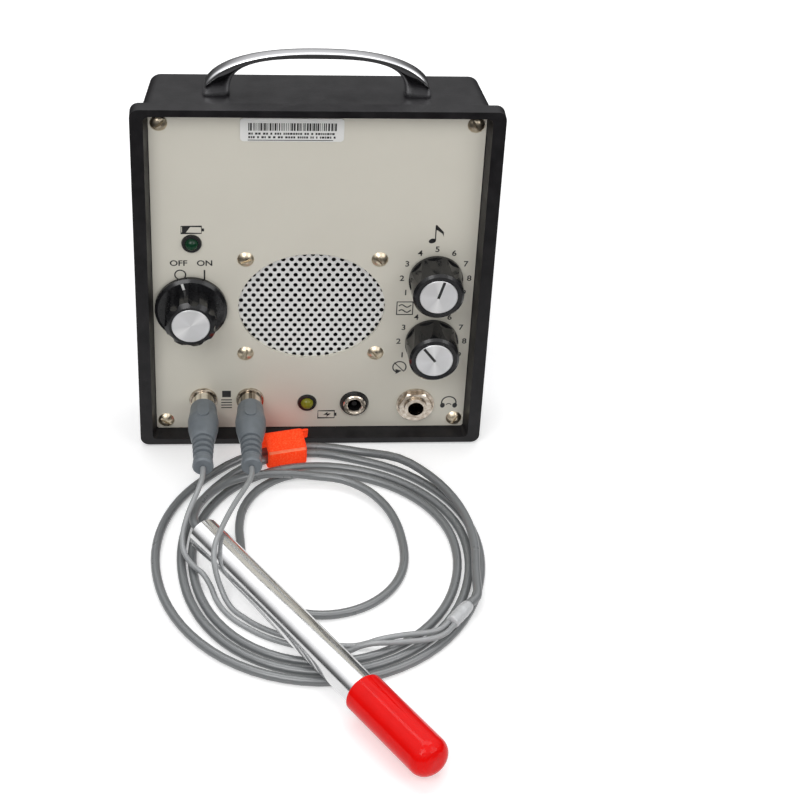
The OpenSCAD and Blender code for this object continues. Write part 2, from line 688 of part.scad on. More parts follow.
module low_battery_lamp() color("#1f4d2f") at_panel(low_lamp_x, low_lamp_z) lens();
module charge_lamp() color("#8a8420") at_panel(charge_lamp_x, charge_lamp_z) lens();
module low_battery_holder() color("#151515") at_panel(low_lamp_x, low_lamp_z) lamp_holder();
module charge_holder() color("#151515") at_panel(charge_lamp_x, charge_lamp_z) lamp_holder();

// Sockets

charger_thread = 8;
charger_front = 1.4;

module probe_socket() {
    difference() {
        union() {
            translate([0, 0, -panel_t - 6]) cylinder(d = barrel_d, h = panel_t + 6 + barrel_l);
            cylinder(d = barrel_d + 1.2, h = 0.8);
            translate([0, 0, -panel_t - 2.2]) cylinder(d = (barrel_d + 3) / cos(30), h = 2.2, $fn = 6);
        }
        translate([0, 0, -panel_t - 4]) cylinder(d = barrel_d - 1.4, h = panel_t + 6 + barrel_l);
    }
    translate([0, 0, -panel_t - 9]) cylinder(d = 3.4, h = 6);
}

module probe_socket_left() color("#c4beb0") at_panel(probe_socket_x, probe_socket_z) probe_socket();
module probe_socket_right() color("#c4beb0") at_panel(right_socket_x, probe_socket_z) probe_socket();

module charger_socket() color("#141414") at_panel(charger_x, charger_z) {
    difference() {
        union() {
            cylinder(d1 = 12, d2 = 10.6, h = charger_front);
            translate([0, 0, -panel_t - charger_depth])
                cylinder(d = charger_thread, h = panel_t + charger_depth + 0.1);
            translate([0, 0, -panel_t - charger_depth - 3]) cylinder(d = 9.6, h = 3.1);
        }
        translate([0, 0, charger_front - charger_depth]) cylinder(d = charger_bore, h = charger_depth + 1);
    }
    translate([0, 0, charger_front - charger_depth - 0.1]) cylinder(d = charger_pin, h = charger_depth - 1, $fn = 24);
}

module charger_nut() color("#b7b9bb") at_panel(charger_x, charger_z)
    translate([0, 0, -panel_t - 2.2]) hex_nut(10.6, charger_thread + 0.1, 2.2);

phone_front = phone_nut_t + 1.2;

module headphone_socket() color("#b8b3a8") at_panel(phone_x, phone_z) difference() {
    union() {
        translate([0, 0, -panel_t - 2]) cylinder(d = phone_thread, h = panel_t + 2 + phone_front);
        translate([0, 0, -panel_t - phone_depth + phone_front + 1]) linear_extrude(phone_depth - phone_front - 1)
            rounded(phone_body, phone_body, 1.5);
    }
    translate([0, 0, phone_front - phone_depth]) cylinder(d = phone_bore, h = phone_depth + 1);
}

module headphone_nut() color("#c6c0b0") at_panel(phone_x, phone_z) difference() {
    union() {
        cylinder(d = phone_nut_w + 3, h = 0.8);
        translate([0, 0, 0.8]) intersection() {
            cylinder(d = phone_nut_w / cos(30), h = phone_nut_t - 0.8, $fn = 6);
            cylinder(d1 = phone_nut_w + 4, d2 = phone_nut_w + 0.6, h = phone_nut_t - 0.8);
        }
    }
    translate([0, 0, -1]) cylinder(d = phone_thread + 0.1, h = phone_nut_t + 2, $fn = 48);
}

// Inside

board_top = rim_z + rim_h - board_drop;
board_low = max(speaker_z + flange_h / 2, low_lamp_z + holder_d / 2 - 0.7) + board_clear;
board_h = board_top - board_low;
board_z = (board_top + board_low) / 2;
board_w = panel_w - 2 * board_side;
board_front = panel_back + board_gap;
board_back = board_front + board_t;
board_hole_x = board_w / 2 - 4;
board_hole_z = board_h / 2 - 4;
standoff_l = rear_inner - board_back;

module circuit_board() color("#2f6b3f") at_panel(0, board_z, board_back) difference() {
    linear_extrude(board_t) square([board_w, board_h], center = true);
    corners(board_hole_x, board_hole_z) translate([0, 0, -1]) cylinder(d = 3.4, h = board_t + 2, $fn = 24);
}

// The parts on the board's back, with the tall ones above and below the battery cells
module board_components() color("#3b3b3d") at_panel(0, board_z, board_back) {
    for (i = [-2:2]) translate([1.7 * i * chip_l, chip_w / 2, -chip_h / 2])
        cube([chip_l, chip_w, chip_h], center = true);
    edge = board_h / 2 - capacitor_d / 2 - 1;
    for (i = [-2:2], z = [-edge, edge]) translate([2.4 * i * capacitor_d, z, -capacitor_h])
        cylinder(d = capacitor_d, h = capacitor_h, $fn = 32);
}

module board_standoffs() color("#b3b3b0") at_panel(0, board_z, rear_inner)
    corners(board_hole_x, board_hole_z) {
        cylinder(d = standoff_d, h = standoff_l, $fn = 24);
        cylinder(d = 3, h = standoff_l + board_t + 0.5, $fn = 24);
        translate([0, 0, standoff_l + board_t]) cylinder(d = 5.4, h = 1.8, $fn = 24);
    }

cell_mid = cell_l / 2 + 1.2;
clip_foot = 5;

module battery_pack() color("#2d5f9a") placed() for (side = [-1, 1], j = [-1, 1])
    translate([side * cell_mid, rear_inner - cell_d / 2 - seat, board_z + j * (cell_d / 2 + seat)])
        rotate([0, 90, 0]) translate([0, 0, -cell_l / 2]) cylinder(d = cell_d, h = cell_l);

// A clip's section: a band over the two cells, and a foot on the back wall above and below them
module clip_section() {
    inner = cell_d + 3 * seat;
    difference() {
        translate([-inner - clip_t, -inner - clip_t]) square([inner + clip_t, 2 * (inner + clip_t)]);
        translate([-inner, -inner]) square([inner + 1, 2 * inner]);
    }
    for (z = [inner, -inner - clip_foot]) translate([-clip_t, z]) square([clip_t, clip_foot]);
}

module battery_clip() color("#8b8d90") placed() for (side = [-1, 1])
    translate([side * cell_mid - 5, rear_inner, board_z]) rotate([90, 0, 90]) linear_extrude(10) clip_section();

// Plugs

collar_end = 9;
grip_start = 6.8;
grip_tail = 29;
rib_pitch = 3.2;
rib_end = grip_tail + plug_ribs * rib_pitch;

module plug_collar() difference() {
    translate([0, 0, 0.9]) cylinder(d = collar_d, h = collar_end - 0.9);
    translate([0, 0, 0]) cylinder(d = barrel_d + 0.3, h = collar_end + 1);
}

// Half profile of the grip: radius against distance from the panel
function grip_profile() = concat(
    [[collar_d / 2 + 0.05, grip_start], [collar_d / 2 + 0.5, grip_start], [plug_d / 2 - 0.7, grip_start + 3.5],
     [plug_d / 2, grip_start + 9], [plug_d / 2 - 0.2, grip_start + 14], [plug_d / 2 - 1.3, grip_tail - 1.6],
     [plug_d / 2 - 1.8, grip_tail]],
    [for (i = [0:plug_ribs - 1]) each let (z = grip_tail + i * rib_pitch, r = plug_d / 2 - 1.9 - 0.16 * i)
        [[r - 1.1, z + 0.2], [r - 1.1, z + 1.2], [r, z + 1.4], [r, z + rib_pitch]]],
    [[plug_d / 2 - 2.2, rib_end + 0.4], [plug_d / 2 - 2, plug_l - 0.8], [plug_d / 2 - 2.6, plug_l],
     [0, plug_l], [0, collar_end + 0.1], [collar_d / 2 + 0.05, collar_end + 0.1]]);

module plug_grip() {
    rotate_extrude() polygon(grip_profile());
    for (a = [0, 180]) rotate([0, 0, a]) translate([0, plug_d / 2 - 1.2, grip_start + 8]) rotate([-90, 0, 0]) {
        for (s = [-1, 1]) translate([0, s * 2.4, 0]) cylinder(d = 4.6, h = 1.5, $fn = 32);
        translate([-2.3, -2.4, 0]) cube([4.6, 4.8, 1.5]);
    }
}

module plug_collar_left() color("#c4beb0") at_panel(probe_socket_x, probe_socket_z) plug_collar();
module plug_collar_right() color("#c4beb0") at_panel(right_socket_x, probe_socket_z) plug_collar();
module plug_grip_left() color("#7d848a") at_panel(probe_socket_x, probe_socket_z) plug_grip();
module plug_grip_right() color("#7d848a") at_panel(right_socket_x, probe_socket_z) plug_grip();

// Cords

// A tube of the given sides swept along points, each ring square to the mean of its two steps
function unit(v) = v / norm(v);
function step_dir(p, i) = unit(i == 0 ? p[1] - p[0] : i == len(p) - 1 ? p[i] - p[i - 1]
    : unit(p[i + 1] - p[i]) + unit(p[i] - p[i - 1]));
function ring(c, d, r, sides) = let (s = unit(cross(d, [0, 0, 1])), u = cross(s, d))
    [for (k = [0:sides - 1]) let (a = 360 * (k + 0.5) / sides) c + r * cos(a) * s + r * sin(a) * u];

module tube(points, r, sides) {
    n = len(points);
    rings = [for (i = [0:n - 1]) each ring(points[i], step_dir(points, i), r, sides)];
    sides_faces = [for (i = [0:n - 2], k = [0:sides - 1]) let (a = i * sides, b = a + sides, m = (k + 1) % sides)
        each [[a + k, a + m, b + m], [a + k, b + m, b + k]]];
    ends = [for (k = [1:sides - 2]) each [[0, k + 1, k],
        [(n - 1) * sides, (n - 1) * sides + k, (n - 1) * sides + k + 1]]];
    polyhedron(rings, concat(sides_faces, ends));
}

// A smooth curve through chosen points, with the given number of steps between each two
function spline(p, steps) = let (n = len(p))
    concat([for (i = [0:n - 2], j = [0:steps - 1])
        let (a = p[max(i - 1, 0)], b = p[i], c = p[i + 1], d = p[min(i + 2, n - 1)], t = j / steps)
        0.5 * (2 * b + (c - a) * t + (2 * a - 5 * b + 4 * c - d) * t * t + (3 * b - a - 3 * c + d) * t * t * t)],
        [p[n - 1]]);

// The leads leave the plugs, come down over the rear of the probe and its cable, and run to the sleeve
LEAD_LEFT = [
    [-44.2, -40, 19.3], [-44.2, -43, 19.3], [-44.8, -47.5, 18.8], [-46.4, -52.5, 17.2], [-48.6, -57.5, 14.8],
    [-50.6, -62.5, 11.8], [-51.8, -67.5, 8.8], [-51.8, -72.5, 6.8], [-50.4, -77.5, 5.9], [-47.6, -82.5, 5.5],
    [-44, -86.6, 5], [-41.2, -91, 2.6], [-39.4, -96.4, 1.3], [-36.8, -102.3, 1.2], [-32.8, -108, 1.2],
    [-27.5, -113, 1.2], [-21.5, -117.5, 1.2], [-14.5, -121, 1.2], [-7, -123.8, 1.2], [1, -125.6, 1.2],
    [8, -126.3, 1.4], [12.5, -126.5, 3.9], [17.5, -126.9, 5.7], [24, -127, 6], [30, -126.8, 6.2],
    [36, -126.2, 6.3], [41, -124.8, 6.35], [44.4, -122.5, 6.35], [46.3, -120.1, 6.35], [47.8, -118.1, 6.35]];
LEAD_RIGHT = [
    [-25.2, -40, 19.3], [-25.2, -43, 19.3], [-26, -48, 19.6], [-28.2, -54, 19.8], [-30.8, -60, 19.8],
    [-33.3, -66, 19.5], [-35.6, -72, 19], [-37.6, -78, 18.5], [-39.4, -83.5, 17.2], [-40, -88, 13.6],
    [-39, -91.5, 8.8], [-37.2, -95, 4.6], [-35.2, -98.8, 2], [-32.6, -103, 1.2], [-29, -107, 1.2],
    [-24.5, -111.2, 1.2], [-18.5, -115.2, 1.2], [-12, -118.4, 1.2], [-5, -121, 1.2], [2.5, -122.6, 1.2],
    [10, -123.3, 1.2], [15, -123.6, 2.6], [19.5, -123.8, 4.6], [24.5, -123.6, 5.7], [30, -123.1, 6.2],
    [35, -122.7, 6.3], [39.4, -121.9, 6.35], [42.4, -120.4, 6.35], [44.3, -118.5, 6.35], [45.8, -116.5, 6.35]];

// The cable's loops turn about this middle. The reach is the loop's radius at each quarter turn, counted
// from the right, before the first turn: right, back, left, front
LOOP_MID = [0, -72];
LOOP_REACH = [74, 60, 66.5, 62.3, 70.2, 62.3, 62, 52.5, 65.5, 57.8, 55.2, 48.3, 60.5, 53.3, 51.1, 29.5, 35, 33, 45];
LOOP_START = -0.05;
LOOP_TURNS = 4.25;
LOOP_RINGS = 24;
floor_z = cable_d / 2 + floor_gap;
// The sleeve lies just above the strand below it
crossing_z = floor_gap + cable_d + 2 * floor_gap + sleeve_d / 2;
tie_lift = floor_gap + tie_t + cable_d / 2 + 0.25;
SLEEVE_END = [54, -107.7, crossing_z];
SLEEVE_DIR = [0.6, 0.8, 0];
CABLE_TAIL = concat([
    [-8, -27.1, 6], [-16, -27.3, 6.4], [-25, -28.9, 6.7], [-33, -32.6, 7.1], [-39.5, -38.6, 7.6],
    [-44.3, -46, 8.3], [-47.3, -53.5, 9.3]],
    [for (back = [8, 4, 0]) [probe_rear[0] - back * probe_dir[0], probe_rear[1] - back * probe_dir[1], probe_z]]);

function ease(a, b, t) = a + (b - a) * (1 - cos(180 * min(max(t, 0), 1))) / 2;
function reach(t) = let (q = (t + 0.25) * 4, i = floor(q)) ease(LOOP_REACH[i], LOOP_REACH[min(i + 1, 18)], q - i);
// The first stretch lies on the strands below it and comes down at the back, the two strands in the tie
// lie on its lower layer, and the end climbs over the strands on the left
function rise(t) = t < 0.5 ? ease(crossing_z, floor_z, (t - 0.15) / 0.08)
    : ease(floor_z, 4.8, (t - 4.02) / (LOOP_TURNS - 4.02));
function tie_rise(t) = let (u = abs(t - floor(t) - 0.28)) t < 1.5 ? ease(tie_lift - floor_z, 0, (u - 0.03) / 0.05) : 0;
function loop_point(t) = [LOOP_MID[0] + reach(t) * cos(360 * t), LOOP_MID[1] + reach(t) * sin(360 * t),
    rise(t) + tie_rise(t)];
loop_steps = round((LOOP_TURNS - LOOP_START) * LOOP_RINGS);
LOOPS = [for (i = [0:loop_steps]) loop_point(LOOP_START + (LOOP_TURNS - LOOP_START) * i / loop_steps)];
LEAD_IN = [SLEEVE_END, SLEEVE_END + 3.5 * SLEEVE_DIR, SLEEVE_END + 7 * SLEEVE_DIR + [0.3, 0, 0]];
CABLE = concat(LEAD_IN, LOOPS, spline(concat([LOOPS[loop_steps]], CABLE_TAIL), 2));

// Drop points that repeat their neighbour
function distinct(p) = [for (i = [0:len(p) - 1]) if (i == 0 || norm(p[i] - p[i - 1]) > 0.5) p[i]];
CABLE_POINTS = distinct(CABLE);
LEFT_POINTS = spline(LEAD_LEFT, 2);
RIGHT_POINTS = spline(LEAD_RIGHT, 2);

// Lengths, and the least gap of each cord to itself and to the others, measured along finer points
function path_length(p) = sum([for (i = [1:len(p) - 1]) norm(p[i] - p[i - 1])]);
function sum(v, i = 0, s = 0) = i == len(v) ? s : sum(v, i + 1, s + v[i]);
function seg_dist(p, a, b) = let (ab = b - a, t = min(max((p - a) * ab / (ab * ab), 0), 1)) norm(p - a - t * ab);
function own_gap(p, d, apart) = min([for (i = [0:len(p) - 1], j = [0:len(p) - 2])
    if (abs(i - j) > apart && abs(i - j - 1) > apart) seg_dist(p[i], p[j], p[j + 1])]) - d;
function pair_gap(p, q, d) = min([for (a = p, j = [0:len(q) - 2]) seg_dist(a, q[j], q[j + 1])]) - d;
PROBE_AXIS = [probe_dir[0], probe_dir[1], 0];
function probe_gap(p, d) = min([for (a = p) let (v = a - [probe_rear[0], probe_rear[1], probe_z], s = v * PROBE_AXIS)
    if (s > 0 && s < tube_l) norm(v - s * PROBE_AXIS)]) - (tube_d + d) / 2;
echo(str("cable length ", path_length(CABLE_POINTS), ", gap to itself ", own_gap(CABLE_POINTS, cable_d, 6)));
echo(str("left lead length ", path_length(LEFT_POINTS), ", gap to itself ", own_gap(LEFT_POINTS, lead_d, 6)));
echo(str("right lead length ", path_length(RIGHT_POINTS), ", gap to itself ", own_gap(RIGHT_POINTS, lead_d, 6)));
echo(str("leads apart ", pair_gap(LEFT_POINTS, RIGHT_POINTS, lead_d)));
echo(str("cable to left lead ", pair_gap(LEFT_POINTS, CABLE_POINTS, (cable_d + lead_d) / 2)));
echo(str("cable to right lead ", pair_gap(RIGHT_POINTS, CABLE_POINTS, (cable_d + lead_d) / 2)));
echo(str("probe to left lead ", probe_gap(LEFT_POINTS, lead_d)));
echo(str("probe to right lead ", probe_gap(RIGHT_POINTS, lead_d)));
echo(str("probe to cable ", probe_gap(CABLE_POINTS, cable_d)));

module lead_left() color("#a3a6a8") placed() tube(LEFT_POINTS, lead_d / 2, 8);
module lead_right() color("#a3a6a8") placed() tube(RIGHT_POINTS, lead_d / 2, 8);
module probe_cable() color("#6f7274") placed() tube(CABLE_POINTS, cable_d / 2, 6);

// The sleeve stands a little clear of the cords' ends
module junction_sleeve() color("#c9cbcc") placed() translate(SLEEVE_END)
    rotate([0, 0, atan2(SLEEVE_DIR[1], SLEEVE_DIR[0])]) rotate([0, 90, 0])
        translate([0, 0, -sleeve_l + cord_seat]) rotate_extrude() polygon([
            [0, 0], [sleeve_d / 2 - 0.3, 0], [sleeve_d / 2, 1], [sleeve_d / 2, sleeve_l - 2.6],
            [cable_d / 2 + 0.3, sleeve_l - 2 * cord_seat], [0, sleeve_l - 2 * cord_seat]]);

// The tie is a band round the two outer strands, lower at its front, with the strap's end at one side
tie_x = -11.5;
tie_y = -9.45;
tie_turn = 13;
tie_r = 2.4;
// Middles of the band's corners, across the strands and up, and where each corner's arc starts and ends
TIE_CORNERS = [
    [-3.7, 2.4, 180, 270], [3.7, 2.4, 270, 371.2], [2.2, 9.9, 11.2, 114.4], [-3.7, 7.2, 114.4, 180]];

function tie_outline(r) = [for (c = TIE_CORNERS, i = [0:5]) let (a = c[2] + (c[3] - c[2]) * i / 5)
    [c[0] + r * cos(a), c[1] + r * sin(a)]];

module cable_tie() color("#f2451f") placed()
    translate([tie_x, tie_y, floor_gap]) rotate([0, 0, tie_turn]) rotate([90, 0, 90])
        translate([0, 0, -tie_w / 2]) {
            linear_extrude(tie_w) difference() {
                polygon(tie_outline(tie_r));
                polygon(tie_outline(tie_r - tie_t));
            }
            translate([2.6, 12, tie_w - 1]) rotate([0, 0, -78.8]) cube([4.5, tie_t, 4]);
        }

// Probe

module probe_tube() color("#d6d8da") along_probe() difference() {
    cylinder(d = tube_d, h = tube_l - face_l, $fn = 64);
    translate([0, 0, -1]) cylinder(d = tube_d - 2 * tube_wall, h = tube_l, $fn = 64);
}

// The sensing face fills the tube's end and stands out of it as a slightly rounded nose
module probe_face() color("#5a4a40") along_probe(tube_l - face_l) {
    translate([0, 0, -5]) cylinder(d = tube_d - 2 * tube_wall - 0.1, h = 5.1, $fn = 64);
    cylinder(d = tube_d, h = face_l - face_r, $fn = 64);
    translate([0, 0, face_l - face_r]) rotate_extrude($fn = 64)
        polygon(concat([[0, 0]], [for (a = [0:15:90])
            [tube_d / 2 - face_r + face_r * cos(a), face_r * sin(a)]], [[0, face_r]]));
}

module probe_bushing() color("#2b2b2c") along_probe() difference() {
    cylinder(d = tube_d - 2 * tube_wall - 0.1, h = 8);
    translate([0, 0, 4]) cylinder(d = 3, h = 5, $fn = 24);
}

module probe_cap() color("#e0261c") along_probe(cap_start) rotate_extrude($fn = 64) polygon(concat(
    [[0, vinyl_grip + 0.4], [tube_d / 2 + vinyl_gap, vinyl_grip + 0.4], [tube_d / 2 + vinyl_gap, 0],
     [vinyl_d / 2 - 0.3, 0], [vinyl_d / 2, 0.4]],
    [for (a = [0:10:90]) [vinyl_d / 2 - vinyl_end_r + vinyl_end_r * cos(a),
        vinyl_l - vinyl_end_r + vinyl_end_r * sin(a)]],
    [[0, vinyl_l]]));

case_shell();
front_panel();
label_plate();
panel_screws();
rubber_feet();
handle();
handle_screws();
speaker_grille();
speaker_frame();
speaker_cone();
speaker_magnet();
speaker_screws();
speaker_nuts();
power_switch();
power_shaft();
power_knob();
power_knob_disc();
volume_control();
volume_shaft();
volume_knob();
volume_knob_disc();
suppression_control();
suppression_shaft();
suppression_knob();
suppression_knob_disc();
control_nuts();
low_battery_lamp();
low_battery_holder();
charge_lamp();
charge_holder();
probe_socket_left();
probe_socket_right();
charger_socket();
charger_nut();
headphone_socket();
headphone_nut();
circuit_board();
board_components();
board_standoffs();
battery_pack();
battery_clip();
plug_collar_left();
plug_grip_left();
plug_collar_right();
plug_grip_right();
lead_left();
lead_right();
junction_sleeve();
probe_cable();
cable_tie();
probe_tube();
probe_face();
probe_bushing();
probe_cap();
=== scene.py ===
import json
import math
import random

import bpy
from mathutils import Matrix, Vector


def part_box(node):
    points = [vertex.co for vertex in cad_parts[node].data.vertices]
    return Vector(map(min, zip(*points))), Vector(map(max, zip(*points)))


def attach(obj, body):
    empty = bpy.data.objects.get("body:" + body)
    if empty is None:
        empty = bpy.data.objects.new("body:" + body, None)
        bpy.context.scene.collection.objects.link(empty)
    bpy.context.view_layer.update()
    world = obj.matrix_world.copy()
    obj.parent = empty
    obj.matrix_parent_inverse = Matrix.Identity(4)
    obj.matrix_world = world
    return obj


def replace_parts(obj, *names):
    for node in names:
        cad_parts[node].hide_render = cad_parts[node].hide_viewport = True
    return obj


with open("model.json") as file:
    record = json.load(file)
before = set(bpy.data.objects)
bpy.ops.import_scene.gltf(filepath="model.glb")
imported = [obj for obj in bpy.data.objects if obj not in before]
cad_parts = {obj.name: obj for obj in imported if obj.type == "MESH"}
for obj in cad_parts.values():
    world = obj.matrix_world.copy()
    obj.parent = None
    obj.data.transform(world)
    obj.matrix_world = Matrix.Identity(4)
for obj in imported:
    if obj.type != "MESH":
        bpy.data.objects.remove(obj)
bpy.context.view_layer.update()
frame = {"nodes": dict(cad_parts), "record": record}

nodes = frame["nodes"]

# Lengths are in millimetres, as in the part's source: x from the middle, y back from the rim's front face,
# and z up from the table. place() turns them into metres in the shared frame.
MM = 0.001
FRONT_Y = round(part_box("case_shell")[0].y / MM, 3)
PANEL_Y = 6.0


def place(x, y, z):
    return Vector((x * MM, (y + FRONT_Y) * MM, z * MM))


def on_panel(x, z, out=0.0):
    return place(x, PANEL_Y - out, z)


# Camera

CAMERA_PLACE = (-35.9, -646.2, 486.7)
CAMERA_LENS = 87.73
CAMERA_RIGHT = Vector((0.99592, -0.07672, 0.04741))
CAMERA_UP = Vector((0.00621, 0.58277, 0.81261))
CAMERA_LOOK = Vector((0.08997, 0.80900, -0.58088))

scene = bpy.context.scene
camera_data = bpy.data.cameras.new("camera")
camera_data.sensor_fit = "HORIZONTAL"
camera_data.sensor_width = 36.0
camera_data.lens = CAMERA_LENS
camera_data.clip_start = 0.05
camera = bpy.data.objects.new("camera", camera_data)
bpy.context.collection.objects.link(camera)
camera_turn = Matrix((CAMERA_RIGHT, CAMERA_UP, -CAMERA_LOOK)).transposed().to_4x4()
camera.matrix_world = Matrix.Translation(place(*CAMERA_PLACE)) @ camera_turn
scene.camera = camera

# Nodes of materials and of the world


def add_node(tree, kind, inputs=None, **props):
    """A new node. Its inputs, by name or number, are linked to a socket or set to a value."""
    node = tree.nodes.new(kind)
    for key, value in props.items():
        setattr(node, key, value)
    for key, value in (inputs or {}).items():
        if isinstance(value, bpy.types.NodeSocket):
            tree.links.new(value, node.inputs[key])
        else:
            node.inputs[key].default_value = value
    return node


def add_ramp(tree, fac, stops):
    """A colour ramp. Each stop is a place and either a colour or a grey."""
    node = add_node(tree, "ShaderNodeValToRGB", {"Fac": fac})
    elements = node.color_ramp.elements
    while len(elements) < len(stops):
        elements.new(0.5)
    for element, (position, value) in zip(elements, stops):
        element.position = position
        element.color = (*value, 1.0) if isinstance(value, tuple) else (value, value, value, 1.0)
    return node.outputs["Color"]


class Mat:
    """A Principled material with helpers for the textures that drive it.

    Further levels are inputs of the shader by name, with _ for each space.
    """

    def __init__(self, name, color, rough, metal=0.0, **levels):
        self.m = bpy.data.materials.new(name)
        self.m.use_nodes = True
        self.tree = self.m.node_tree
        self.shader = self.tree.nodes["Principled BSDF"]
        self.color = color
        self.rough = rough
        fixed = {"Base Color": (*color, 1.0), "Roughness": rough, "Metallic": metal}
        fixed.update((key.replace("_", " "), value) for key, value in levels.items())
        for socket, value in fixed.items():
            self.shader.inputs[socket].default_value = value

    def node(self, kind, inputs=None, **props):
        return add_node(self.tree, kind, inputs, **props)

    def drive(self, socket, source):
        self.tree.links.new(source, self.shader.inputs[socket])
        return self

    def coords(self, kind="Object", **mapping):
        """Texture coordinates, moved or stretched where a Location or Scale is given."""
        out = self.node("ShaderNodeTexCoord").outputs[kind]
        if mapping:
            out = self.node("ShaderNodeMapping", {"Vector": out, **mapping}).outputs["Vector"]
        return out

    def noise(self, scale, detail=3.0, rough=0.5, **mapping):
        inputs = {"Vector": self.coords(**mapping), "Scale": scale, "Detail": detail, "Roughness": rough}
        return self.node("ShaderNodeTexNoise", inputs).outputs["Fac"]

    def ramp(self, fac, stops):
        return add_ramp(self.tree, fac, stops)

    def vary_color(self, scale, amount, detail=4.0):
        dark = tuple(c * (1 - amount) for c in self.color)
        light = tuple(min(1.0, c * (1 + amount)) for c in self.color)
        return self.drive("Base Color", self.ramp(self.noise(scale, detail), [(0.3, dark), (0.7, light)]))

    def vary_rough(self, scale, amount):
        low, high = max(0.02, self.rough - amount), min(1.0, self.rough + amount)
        return self.drive("Roughness", self.ramp(self.noise(scale, 4.0), [(0.3, low), (0.7, high)]))

    def bump(self, height, distance_mm, strength=1.0):
        inputs = {"Height": height, "Distance": distance_mm * MM, "Strength": strength}
        return self.drive("Normal", self.node("ShaderNodeBump", inputs).outputs["Normal"])


# Materials


def simple(name, color, rough, metal=0.0, grain=600.0, depth=0.02):
    m = Mat(name, color, rough, metal)
    m.vary_color(grain / 12, 0.06).vary_rough(grain / 6, 0.06)
    return m.bump(m.noise(grain * 2), depth).m


def case_plastic():
    """Moulded with a fine leather-like grain, and rubbed grey in places."""
    m = Mat("case_plastic", (0.012, 0.0115, 0.0125), 0.40, Specular_IOR_Level=0.28)
    grime = m.ramp(m.noise(160, 6.0), [(0.35, (0.008, 0.0075, 0.0085)), (0.7, (0.016, 0.015, 0.0165))])
    scuffed = m.ramp(m.noise(38, 9.0, 0.75), [(0.60, 0.0), (0.74, 0.5)])
    tones = {"Factor": scuffed, "A": grime, "B": (0.045, 0.043, 0.045, 1.0)}
    m.drive("Base Color", m.node("ShaderNodeMix", tones, data_type="RGBA").outputs["Result"])
    return m.vary_rough(90, 0.08).bump(m.noise(1500, 2.0, 0.6), 0.06, 0.7).m


def panel_paint():
    m = Mat("panel_paint", (0.70, 0.672, 0.585), 0.42)
    return m.vary_color(30, 0.018, 6.0).vary_rough(220, 0.06).bump(m.noise(2200, 2.0), 0.03, 0.6).m


def label_white():
    m = Mat("label_white", (0.82, 0.82, 0.80), 0.3)
    return m.vary_color(120, 0.02).bump(m.noise(900, 2.0), 0.01).m


def printed(name, color, rough, patches):
    """Ink with uneven cover."""
    return Mat(name, color, rough).vary_color(900, patches).vary_rough(1500, 0.08).m


def screw_brass():
    m = Mat("screw_brass", (0.66, 0.57, 0.43), 0.34, 1.0)
    return m.vary_color(420, 0.14).vary_rough(700, 0.1).bump(m.noise(1600, 4.0), 0.015).m


def handle_chrome():
    m = Mat("handle_chrome", (0.76, 0.76, 0.775), 0.07, 1.0)
    return m.vary_rough(140, 0.035).bump(m.noise(160, 2.0), 0.012, 0.5).m


def tube_steel():
    m = Mat("tube_steel", (0.86, 0.86, 0.865), 0.16, 1.0)
    return m.vary_rough(260, 0.05).vary_color(180, 0.03).bump(m.noise(420, 2.0), 0.01, 0.5).m


def plated(name, rough, stops, **mapping):
    """Nickel plate, with light and dark patches in its colour: partly wear, partly painted reflections of a
    bright room.
    """
    m = Mat(name, (0.56, 0.50, 0.42), rough, 1.0)
    m.drive("Base Color", m.ramp(m.noise(520, 3.0, **mapping), stops))
    return m.vary_rough(500, 0.08).bump(m.noise(1200), 0.012).m


def socket_nickel():
    return plated("socket_nickel", 0.2, [(0.3, (0.36, 0.30, 0.24)), (0.5, (0.56, 0.49, 0.41)),
                                         (0.7, (0.74, 0.68, 0.60))])


def collar_nickel():
    """The collars of the plugs get streaks along their axis, from near black to near white: painted
    reflections.
    """
    return plated("plug_collar", 0.18, [(0.36, (0.10, 0.08, 0.065)), (0.5, (0.52, 0.46, 0.38)),
                                        (0.62, (0.95, 0.9, 0.82))], Scale=(1.0, 0.04, 1.0))


def fixing_steel():
    m = Mat("fixing_steel", (0.52, 0.52, 0.53), 0.32, 1.0)
    return m.vary_color(300, 0.08).vary_rough(400, 0.08).bump(m.noise(1000), 0.01).m


def grille_metal():
    """Painted on the faces that look forward. The walls of the holes get a near-black colour, which is
    painted shade in the holes.
    """
    m = Mat("grille_metal", (0.66, 0.66, 0.645), 0.38, 0.35)
    facing = m.node("ShaderNodeNewGeometry").outputs["True Normal"]
    forward = m.node("ShaderNodeSeparateXYZ", {"Vector": facing}).outputs["Y"]
    share = m.node("ShaderNodeMath", {0: forward}, operation="ABSOLUTE").outputs["Value"]
    face_tone = m.ramp(m.noise(240, 4.0), [(0.3, (0.82, 0.82, 0.80)), (0.7, (0.90, 0.90, 0.88))])
    # Near black where the face turns away from the front: painted shade on the hole walls
    tones = {"Factor": m.ramp(share, [(0.5, 0.0), (0.8, 1.0)]),
             "A": (0.012, 0.012, 0.012, 1.0), "B": face_tone}
    m.drive("Base Color", m.node("ShaderNodeMix", tones, data_type="RGBA").outputs["Result"])
    return m.vary_rough(500, 0.07).bump(m.noise(1800, 2.0), 0.01).m


def knob_black():
    m = Mat("knob_black", (0.012, 0.012, 0.013), 0.17, Specular_IOR_Level=0.35, Coat_Weight=0.15,
            Coat_Roughness=0.08, Coat_IOR=1.4)
    return m.vary_color(700, 0.3).vary_rough(350, 0.05).bump(m.noise(900), 0.008).m


